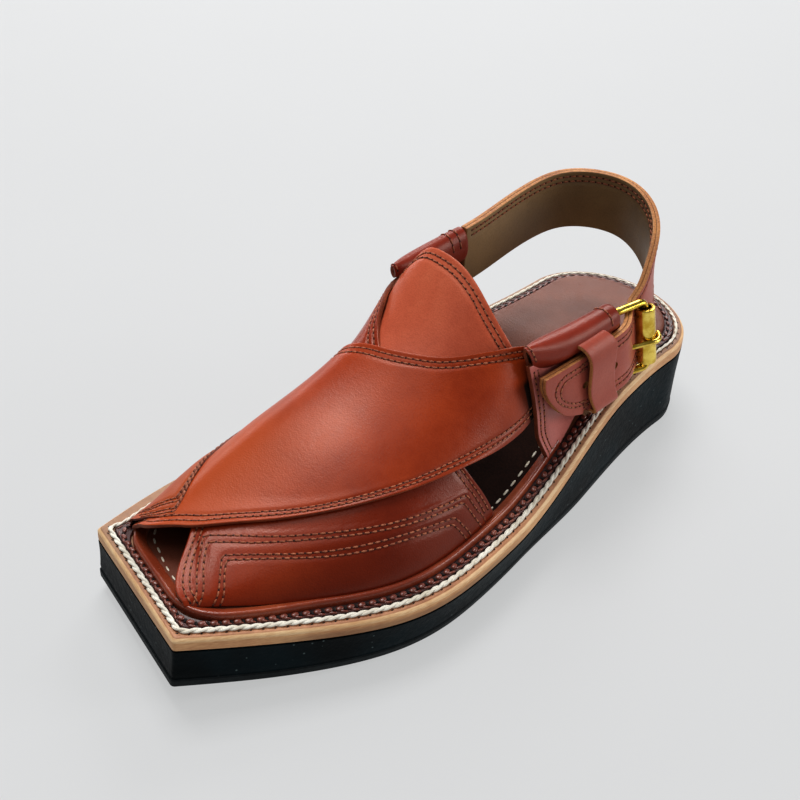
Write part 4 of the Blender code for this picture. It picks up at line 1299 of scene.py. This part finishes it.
LIP_SECTION = (
    # outward from the lip's line, height over the welt:
    # a steep outer wall, a narrow ridge and a long inner slope
    (1.8, 0.1),
    (2.0, 1.0),
    (1.95, 2.4),
    (1.65, 3.5),
    (1.15, 4.05),
    (0.5, 4.1),
    (-0.3, 3.75),
    (-1.3, 3.2),
    (-2.3, 2.7),
    (-3.0, 2.3),
    (-3.3, 1.7),
    (-3.0, 0.9),
)
lip_line = even_ring(lip_inset, welt_top, 520, 15.0)
lip_line = lip_line[lip_line[:, 0] > LIP_END - 4.0]
lip_section = column_curves(LIP_SECTION, 26)
lip = swept("rolled_lip", lip_line, (0.0, 0.0, 1.0), lip_section * np.array([-1.0, 1.0]))
paint(lip, ["lip_leather"])
settle(lip, ["rolled_lip"])

RUNNING_INSET = 15.8         # white running stitches round the front of the insole
RUNNING_PITCH = 5.6
RUNNING_END = -66.0
RUNNING_FORWARD = 2.2        # their line lies this much nearer the toe's front edge
running = even_ring(RUNNING_INSET, padded_top, 400, 9.0)
by_front = smooth_step(114.0, 125.0, running[:, 0]) * smooth_step(10.0, -4.0, running[:, 1])
running[:, 0] += RUNNING_FORWARD * by_front
running = running[running[:, 0] > RUNNING_END]
sew_count = int(line_length(running) / RUNNING_PITCH)
running = resample(running, 2 * sew_count + 1)
run_frames = np.stack([running, unit(np.gradient(running, axis=0)), 0 * running, 0 * running], axis=1)
run_frames[:, 2] = unit(np.cross((0.0, 0.0, 1.0), run_frames[:, 1]))
run_frames[:, 3] = np.cross(run_frames[:, 1], run_frames[:, 2])
repeated("insole_threads", unit_shape(8, 6, 0.85), [run_frames[1::2]], (1.85, 0.5, 0.4), "white_thread")


# ---- bands ----------------------------------------------------------------------------
def last_table(rows, count, across):
    """Stations and angles of a band's grid."""
    table = column_curves(rows, count)
    share = np.linspace(0.0, 1.0, across)[None, :]
    x = table[:, 0:1] * (1 - share) + table[:, 2:3] * share
    angle = table[:, 1:2] * (1 - share) + table[:, 3:4] * share
    return x, angle, table[:, 4:5] + 0.0 * share


def inside(x, angle, outline):
    """Whether each place lies within an outline of stations and angles."""
    hits = np.zeros(x.shape, int)
    for (x0, a0), (x1, a1) in zip(outline, outline[1:] + outline[:1]):
        crosses = (a0 > angle) != (a1 > angle)
        reach = x0 + (angle - a0) / ((a1 - a0) or 1e-9) * (x1 - x0)
        hits += crosses & (x < reach)
    return hits % 2 == 1


def raised_panel(points, x, angle, outline, height, lift):
    """Second layer of leather inside an outline, with a soft step at its edge."""
    border = path(outline, lift)
    away = reach_to(points, [border])
    corners = np.concatenate([column_curves(leg, 20) for leg in outline]).tolist()
    signed = np.where(inside(x, angle, corners), away, -away)
    return points + grid_normals(points) * (height * smooth_step(-PANEL_EDGE, PANEL_EDGE, signed))[..., None]


PANEL_EDGE = 0.45            # half the width of the step round the second layer
# Stitch rows of the under band: each runs up from the toe foot, along the side and down at
# the rear. Places on the last are (station, angle round the section). Most of them, and
# part of PATCH_EDGE, are a measuring script's result, thinned and moved by a few tenths.
UNDER_PANEL = (
    ((136.5, -8.0), (134.8, 8.0), (128.5, 34.0), (121.0, 59.0), (112.4, 80.5)),
    ((112.4, 80.5), (97.0, 57.3), (81.0, 42.8), (59.0, 31.0), (22.5, 18.0)),
    ((22.5, 18.0), (20.0, 8.0), (15.0, -8.0)),
)
UNDER_LONG_ROWS = (
    (((132.0, 3.0), (125.0, 45.0), (117.6, 66.0), (111.8, 77.2)),
     ((111.8, 77.2), (100.5, 58.4), (87.3, 44.6), (60.0, 29.5), (24.2, 16.8)),
     ((24.2, 16.8), (21.6, 8.0), (18.0, 1.0))),
    (((130.2, 3.0), (121.8, 48.5), (112.6, 71.0)),
     ((112.6, 71.0), (104.8, 58.2), (91.3, 44.0), (61.0, 27.4), (26.9, 15.2)),
     ((26.9, 15.2), (24.2, 7.0), (21.0, 1.0))),
    (((125.6, 3.0), (119.2, 36.0), (112.6, 55.8)),
     ((112.6, 55.8), (99.8, 41.2), (83.0, 29.9), (56.0, 20.8), (33.4, 12.7)),
     ((33.4, 12.7), (30.8, 7.0), (27.5, 1.0))),
    (((123.4, 3.0), (118.0, 34.5), (112.6, 50.8)),
     ((112.6, 50.8), (103.8, 41.2), (84.0, 26.9), (57.0, 18.4), (35.4, 10.8)),
     ((35.4, 10.8), (33.0, 5.5), (30.5, 1.0))),
)
x, angle, rise = last_table(UNDER_BAND_ROWS, 170, 104)
under = last_point(x, angle, rise + WALL)
foot = smooth_step(17.0, 2.0, angle)
under[..., 1] += foot * (1.5 - 1.3 * smooth_step(104.0, 132.0, x))
under[..., 2] -= foot * (1.3 - 0.9 * smooth_step(104.0, 132.0, x))
under_rows = [beside(under, 0, 2.7, 0.02, 0.97), beside(under, 0, 5.2, 0.02, 0.97),
              beside(under, 1, 2.0, 0.03, 0.97), beside(under, 1, 4.5, 0.03, 0.97)]
under_rows += [path(row, WALL) for row in UNDER_LONG_ROWS]
under = raised_panel(under, x, angle, UNDER_PANEL, 0.4, WALL)
leather("under_band", under, 2.0, (0.0, 0.3, 1.0), ["under_face", "tan_edge", "flesh_side"],
        under_rows, nodes=["upper"])

x, angle, rise = last_table(OVER_BAND_ROWS, 170, 96)
share = np.linspace(0.0, 1.0, 96)[None, :]
length_share = np.linspace(0.0, 1.0, 170)[:, None]
free = smooth_step(0.05, 0.2, length_share) * smooth_step(0.95, 0.7, length_share)
over_lift = rise + WALL + 0.7 * free * smooth_step(0.18, 0.0, share)
over = last_point(x, angle, over_lift)
over_rows = [beside(over, 0, 3.0, 0.0, 0.99), beside(over, 0, 5.6, 0.0, 0.99),
             beside(over, 1, 2.2, 0.0, 0.99), beside(over, 1, 4.6, 0.0, 0.99)]
leather("over_band", over, 1.7, (0.0, -0.2, 1.0), ["over_face", "tan_edge", "flesh_side"],
        over_rows)

# The patch over the toe end of the over band: its free edge, then its foot.
PATCH_EDGE = (((121.0, 165.0), (117.6, 130.0), (115.4, 114.0), (112.9, 102.5)),
              ((112.9, 102.5), (105.0, 109.3), (96.0, 121.0), (87.6, 131.0), (74.0, 141.0), (52.0, 148.0),
               (34.0, 158.0)))
PATCH_LIFT = 1.6 + WALL + 0.75
PATCH_FOOT = 8.6             # the skirt's foot stands this far in from the edge of the sole
seam_table = np.concatenate([column_curves(leg, 80) for leg in PATCH_EDGE])
foot_x = np.linspace(119.5, 36.0, len(seam_table))
share = np.linspace(0.0, 1.0, 40)[None, :]
patch_x = seam_table[:, :1] * (1 - share) + foot_x[:, None] * share
patch_angle = seam_table[:, 1:2] * (1 - share) + 178.0 * share
patch = last_point(patch_x, patch_angle, PATCH_LIFT - 0.9 * share ** 2)
skirt = smooth_step(0.10, 1.0, share) * smooth_step(40.0, 72.0, patch_x)
skirt = skirt * smooth_step(124.0, 116.5, patch_x)
skirt_foot = inner_side(patch_x) + PATCH_FOOT * np.sqrt(1.0 + slope(inner_side, patch_x) ** 2)
patch[..., 1] += (skirt_foot - patch[..., 1]) * skirt
patch[..., 2] += (welt_top(patch_x) + 2.0 - patch[..., 2]) * skirt ** 1.8
patch_rows = [beside(patch, 0, off, 0.06, 0.98) for off in (1.6, 3.4, 7.0, 8.8)]
leather("toe_patch", patch, 0.9, (0.0, -0.6, 1.0), ["patch_face", "dark_edge", "flesh_side"],
        patch_rows, edge=0.2)

table = column_curves(TONGUE_ROWS, 110)
share = np.linspace(0.0, 1.0, 70)[None, :]
x = table[:, 1:2] * (1 - share) + table[:, 2:3] * share
tongue_face = last_point(x, table[:, 0:1] + 0.0 * share, 0.0 * x - 1.5 * GAP)
tongue_face[..., 1] -= 3.4 * smooth_step(4.0, -16.0, x) * smooth_step(62.0, 104.0, table[:, 0:1])
tongue_rows = [beside(tongue_face, 1, 2.8, 0.05, 0.97), beside(tongue_face, 1, 5.2, 0.05, 0.97)]
leather("tongue", tongue_face, TONGUE_WALL, (0.0, 0.0, 1.0), ["tongue_face", "tan_edge", "flesh_side"],
        tongue_rows, nodes=["tongue"])


# ---- quarters and rolls ---------------------------------------------------------------
def roll_face(rows, count, sides, slant):
    """Face of the leather rolled over at the top of a quarter."""
    table = column_curves(rows, count)
    turn = np.linspace(0.0, 2.0 * math.pi, sides)
    y = table[:, 1:2] + table[:, 3:4] * np.cos(turn)
    z = table[:, 2:3] + table[:, 4:5] * np.sin(turn)
    ahead = slant * smooth_step(-16.0, 0.0, table[:, 0:1] - table[0, 0])
    return np.stack([table[:, 0:1] + ahead * np.sin(turn), y, z], axis=2)


def hollow_roll(name, face, wall, rows):
    """Open-ended leather roll with raw ends."""
    piece = laid(name, face, closed=True)
    paint(piece, ["roll_face", "tan_edge", "flesh_side"])
    skin = BVHTree.FromObject(piece, bpy.context.evaluated_depsgraph_get())
    for row in rows:
        sew(skin, row)
    thicken(piece, wall, 0.35, True)
    return settle(piece)


outer_face = quarter_grid(OUTER_QUARTER_ROWS, 70, 56)
flare = smooth_step(46.0, 35.0, outer_face[..., 2]) ** 1.5
foot_y = outer_side(outer_face[..., 0]) - 9.7
outer_face[..., 1] += (foot_y - outer_face[..., 1]) * flare
outer_face[..., 2] -= 1.6 * flare
outer_rows = [beside(outer_face, 0, 2.2, 0.0, 0.9), beside(outer_face, 0, 4.6, 0.0, 0.9)]
# the outer quarter wears the look with painted sheen
leather("outer_quarter", outer_face, WALL, (0.0, 1.0, 0.0), ["quarter_face_painted_sheen", "tan_edge", "flesh_side"],
        outer_rows)
inner_face = quarter_grid(INNER_QUARTER_ROWS, 70, 50)
inner_rows = [beside(inner_face, 0, 2.2, 0.0, 0.9), beside(inner_face, 0, 4.6, 0.0, 0.9),
              beside(inner_face, 1, 2.2, 0.0, 0.9)]
leather("inner_quarter", inner_face, WALL, (0.0, -1.0, 0.0), ["tan_face", "tan_edge", "flesh_side"],
        inner_rows)

outer_roll = roll_face(OUTER_ROLL_ROWS, 60, 65, 3.0)
hollow_roll("outer_roll", outer_roll, 1.3, [outer_roll[5, 0:26], outer_roll[-4, 2:26]])
inner_roll = roll_face(INNER_ROLL_ROWS, 46, 49, 0.5)
hollow_roll("inner_roll", inner_roll, 1.3, [inner_roll[-4, 2:30], inner_roll[-7, 2:30], inner_roll[3, 2:30]])

turn = np.linspace(0.0, 2.0 * math.pi, 33)
circle = np.stack([np.cos(turn), np.sin(turn), 0 * turn], axis=1) * CHAPE_RADIUS
for number, (start, stop) in enumerate(CHAPE_SPANS):
    line = np.linspace(point_on(BAR_LOW, BAR_HIGH, start), point_on(BAR_LOW, BAR_HIGH, stop), 12)
    chape = line[:, None] + circle[None]
    hollow_roll("buckle_chape_%d" % (number + 1), chape, 1.6, [])

# ---- heel strap and keeper --------------------------------------------------------------
def strap_skin(count, across, off):
    """Face of the strap at a distance off its middle, with its tip cut."""
    middle, width, face = strap_frame(6 * count)
    hop = np.linalg.norm(np.diff(middle, axis=0), axis=1)
    length = np.concatenate([[0.0], np.cumsum(hop)])
    share = np.linspace(0.0, 1.0, across)
    tip = np.array(TIP_ROWS)
    cut = spline(tip[:, 0], tip[:, 1])(share)
    station = np.linspace(0.0, length[-1], count)[:, None]
    station = station - cut * smooth_step(length[-1] - TIP_REACH, length[-1], station)
    centre, side, out = [np.stack([np.interp(station, length, column) for column in table.T], axis=-1)
                         for table in (middle, width, face)]
    return centre + side * ((share - 0.5) * STRAP_WIDTH)[None, :, None] + unit(out) * off


def on_strap(across, back):
    """Place on the strap's outer face at a share of its width and a length back from its tip."""
    column = across * (strap_outer.shape[1] - 1)
    first = min(int(column), strap_outer.shape[1] - 2)
    line = strap_outer[::-1, first] * (first + 1 - column) + strap_outer[::-1, first + 1] * (column - first)
    hop = np.concatenate([[0.0], np.cumsum(np.linalg.norm(np.diff(line, axis=0), axis=1))])
    return np.array([np.interp(back, hop, line[:, k]) for k in range(3)])


def tip_row(distance, bend):
    """Row of stitches that runs out to the tip, round it and back."""
    edge = distance / STRAP_WIDTH
    places = [(1.0 - edge, back) for back in np.linspace(24.0, distance + bend, 16)]
    for turn in np.linspace(90.0, -90.0, 25)[1:-1]:
        across = 0.5 + (0.5 - edge) * math.sin(math.radians(turn))
        places.append((across, distance + bend * (1.0 - math.cos(math.radians(turn)))))
    places += [(edge, back) for back in np.linspace(distance + bend, 12.0, 16)]
    return np.array([on_strap(across, back) for across, back in places])


def strap_hole(x, radius):
    """Middle and direction of a hole through the strap, by its station."""
    middle = strap_outer[:, strap_outer.shape[1] // 2]
    free = np.arange(len(middle)) > len(middle) * 0.6
    i = int(np.argmin(np.abs(middle[:, 0] - x) + 1000.0 * ~free))
    out = np.cross(strap_outer[i + 1, 12] - strap_outer[i - 1, 12], strap_outer[i, 20] - strap_outer[i, 6])
    return middle[i], tuple(unit(out).tolist()), radius


strap_outer = strap_skin(230, 27, STRAP_WALL / 2)
strap_inner = strap_skin(230, 27, -STRAP_WALL / 2)
strap_holes = [strap_hole(-46.4, 1.7), strap_hole(-65.6, 1.7)]
strap_rows = [beside(strap_outer, 0, 3.0, 0.0, 0.9), beside(strap_outer, 1, 3.0, 0.0, 0.9),
              beside(strap_outer, 0, 5.6, 0.66, 0.9), beside(strap_outer, 1, 5.6, 0.66, 0.9),
              tip_row(3.6, 10.0), tip_row(6.2, 8.0)]
leather("heel_strap", strap_outer, 1.7, (-1.0, 0.0, 0.0), ["strap_face_and_sheen", "strap_edge", "flesh_side"],
        strap_rows, nodes=["heel_strap"], holes=strap_holes)
lining_rows = [beside(strap_inner, 1, 2.4, 0.02, 0.7), beside(strap_inner, 1, 4.8, 0.02, 0.7)]
leather("heel_strap_lining", strap_inner, 1.66, (1.0, 0.0, 0.0), ["lining_face", "strap_edge", "flesh_side"],
        lining_rows, holes=strap_holes)

keeper_face = keeper_grid(90, 18)
step = grid_normals(keeper_face)
outward = step * (1.0 if step[20, 9, 1] > 0 else -1.0)
leather("keeper", keeper_face + outward * KEEPER_WALL, KEEPER_WALL, (0.0, 1.0, 0.2),
        ["strap_face_and_sheen", "strap_edge", "flesh_side"], nodes=["keeper"])


# ---- buckle ---------------------------------------------------------------------------
def rounded(corners, radius, steps, straight):
    """Closed line round some corners, each bent on a radius."""
    corners = [np.array(corner, float) for corner in corners]
    line = []
    count = len(corners)
    for i, corner in enumerate(corners):
        start = corner + unit(corners[i - 1] - corner) * radius
        stop = corner + unit(corners[(i + 1) % count] - corner) * radius
        t = np.linspace(0.0, 1.0, steps)[:, None]
        line.append((1 - t) ** 2 * start + 2 * t * (1 - t) * corner + t ** 2 * stop)
        ahead = corners[(i + 1) % count] + unit(corner - corners[(i + 1) % count]) * radius
        line.append(np.linspace(stop, ahead, straight + 2)[1:-1])
    return np.concatenate(line)


frame_line = rounded([BAR_LOW, BAR_HIGH, ROLLER_HIGH, ROLLER_LOW], 3.4, 8, 6)
across_frame = np.cross(np.array(BAR_HIGH) - np.array(BAR_LOW), np.array(ROLLER_LOW) - np.array(BAR_LOW))
frame_bar = swept("buckle_frame", frame_line, across_frame, oval(1.6, 2.05, 16), closed=True)
paint(frame_bar, ["brass"])
settle(frame_bar, ["buckle_frame"])

axis = unit(np.array(ROLLER_HIGH) - np.array(ROLLER_LOW))
reach = ROLLER_LENGTH / np.linalg.norm(np.array(ROLLER_HIGH) - np.array(ROLLER_LOW)) / 2
low = point_on(ROLLER_LOW, ROLLER_HIGH, 0.5 - reach)
high = point_on(ROLLER_LOW, ROLLER_HIGH, 0.5 + reach)
side = unit(np.cross(axis, (1.0, 0.0, 0.0)))
other = np.cross(axis, side)
turn = np.linspace(0.0, 2.0 * math.pi, 49)
circle = side * np.cos(turn)[:, None] + other * np.sin(turn)[:, None]
ROLLER_END = ((0.0, 3.0), (0.0, ROLLER_RADIUS - 0.4), (0.08, ROLLER_RADIUS - 0.1), (0.3, ROLLER_RADIUS))
roller_rows = [low + circle * radius + axis * along for along, radius in ROLLER_END]
roller_rows += [low + (high - low) * share + circle * ROLLER_RADIUS for share in np.linspace(0.06, 0.94, 9)]
roller_rows += [high + circle * radius - axis * along for along, radius in ROLLER_END[::-1]]
roller_rows += [high + (low - high) * share + circle * 2.95 for share in np.linspace(0.06, 0.94, 5)]
roller_rows.append(roller_rows[0])
roller = laid("buckle_roller", np.array(roller_rows), closed=True)
paint(roller, ["brass"])
settle(roller, ["buckle_roller"])

height_share = (PRONG_HEIGHT - BAR_LOW[2]) / (BAR_HIGH[2] - BAR_LOW[2])
eye = point_on(BAR_LOW, BAR_HIGH, height_share)
rest = point_on(ROLLER_LOW, ROLLER_HIGH, height_share)
over = ROLLER_RADIUS + 0.3 + PRONG_RADIUS
target = rest + np.array([0.0, over, 0.0])
aim = math.atan2(target[1] - eye[1], target[0] - eye[0])
leave = aim - math.acos(PRONG_RING / math.hypot(target[0] - eye[0], target[1] - eye[1]))
prong_line = [eye + PRONG_RING * np.array([math.cos(turn), math.sin(turn), 0.0])
              for turn in np.linspace(leave - math.radians(300.0), leave, 26)]
prong_line += [point_on(prong_line[25], target, share) for share in (0.2, 0.4, 0.6, 0.8)]
prong_line += [rest + over * np.array([math.cos(turn), math.sin(turn), 0.0])
               for turn in np.radians(np.linspace(88.0, 158.0, 9))]
prong = swept("buckle_prong", np.array(prong_line), (0.0, 0.0, 1.0), oval(1.15, 1.15, 14))
paint(prong, ["brass"])
settle(prong, ["buckle_prong"])

# ---- all the stitches ---------------------------------------------------------------------
repeated("stitch_threads", unit_shape(8, 6, 0.9), threads, (1.12, 0.38, 0.34), "gold_thread",
         0.12)
repeated("needle_holes", unit_shape(6, 4), needle_holes, (0.52, 0.50, 0.18), "needle_hole",
         0.02)

# ---- studio -----------------------------------------------------------------------------
bpy.ops.object.select_all(action="DESELECT")
bpy.ops.mesh.primitive_plane_add(size=24.0)
floor = bpy.context.active_object
floor.name = "studio_floor"
paint(floor, ["studio_floor"])

scene = bpy.context.scene
scene.view_settings.view_transform = "Standard"
scene.view_settings.gamma = 0.87
world = bpy.data.worlds.new("studio")
world.use_nodes = True
sky = world.node_tree.nodes["Background"]
sky.inputs["Color"].default_value = (0.93, 0.96, 1.0, 1.0)
sky.inputs["Strength"].default_value = 0.22
scene.world = world


def soft_light(name, spot, size, power):
    """Square soft light that looks at the shoe."""
    lamp = bpy.data.lights.new(name, "AREA")
    lamp.shape = "RECTANGLE"
    lamp.size, lamp.size_y = size
    lamp.energy = power
    made = bpy.data.objects.new(name, lamp)
    scene.collection.objects.link(made)
    made.location = spot
    made.rotation_euler = (Vector((0.0, 0.0, 0.04)) - Vector(spot)).to_track_quat("-Z", "Y").to_euler()


soft_light("key_light", (-0.40, -0.85, 2.00), (1.0, 0.9), 33.0)
soft_light("top_light", (0.35, -0.2, 2.4), (1.6, 1.6), 14.0)
soft_light("heel_light", (-1.70, -1.00, 1.30), (0.9, 0.7), 17.0)
soft_light("far_light", (-0.75, -1.35, 0.42), (1.8, 0.45), 8.0)
soft_light("side_light", (-1.20, 1.25, 0.66), (0.9, 0.7), 14.0)

# The view's place, aim, roll and lens are a fitting script's result. Places are in metres.
VIEW_SPOT = Vector((0.36726, 0.31153, 0.42219))
VIEW_AIM = Vector((-0.02237, -0.03760, 0.020))
VIEW_ROLL = math.radians(2.87)
camera_data = bpy.data.cameras.new("view")
camera_data.lens = 67.02
camera_data.sensor_width = 36.0
camera_data.clip_start = 0.02
camera = bpy.data.objects.new("view", camera_data)
scene.collection.objects.link(camera)
ahead = (VIEW_AIM - VIEW_SPOT).normalized()
level = ahead.cross(Vector((0.0, 0.0, 1.0))).normalized()
upright = level.cross(ahead)
right = level * math.cos(VIEW_ROLL) + upright * math.sin(VIEW_ROLL)
up = upright * math.cos(VIEW_ROLL) - level * math.sin(VIEW_ROLL)
turn = Matrix((right, up, -ahead)).transposed().to_4x4()
camera.matrix_world = Matrix.Translation(VIEW_SPOT) @ turn
scene.camera = camera
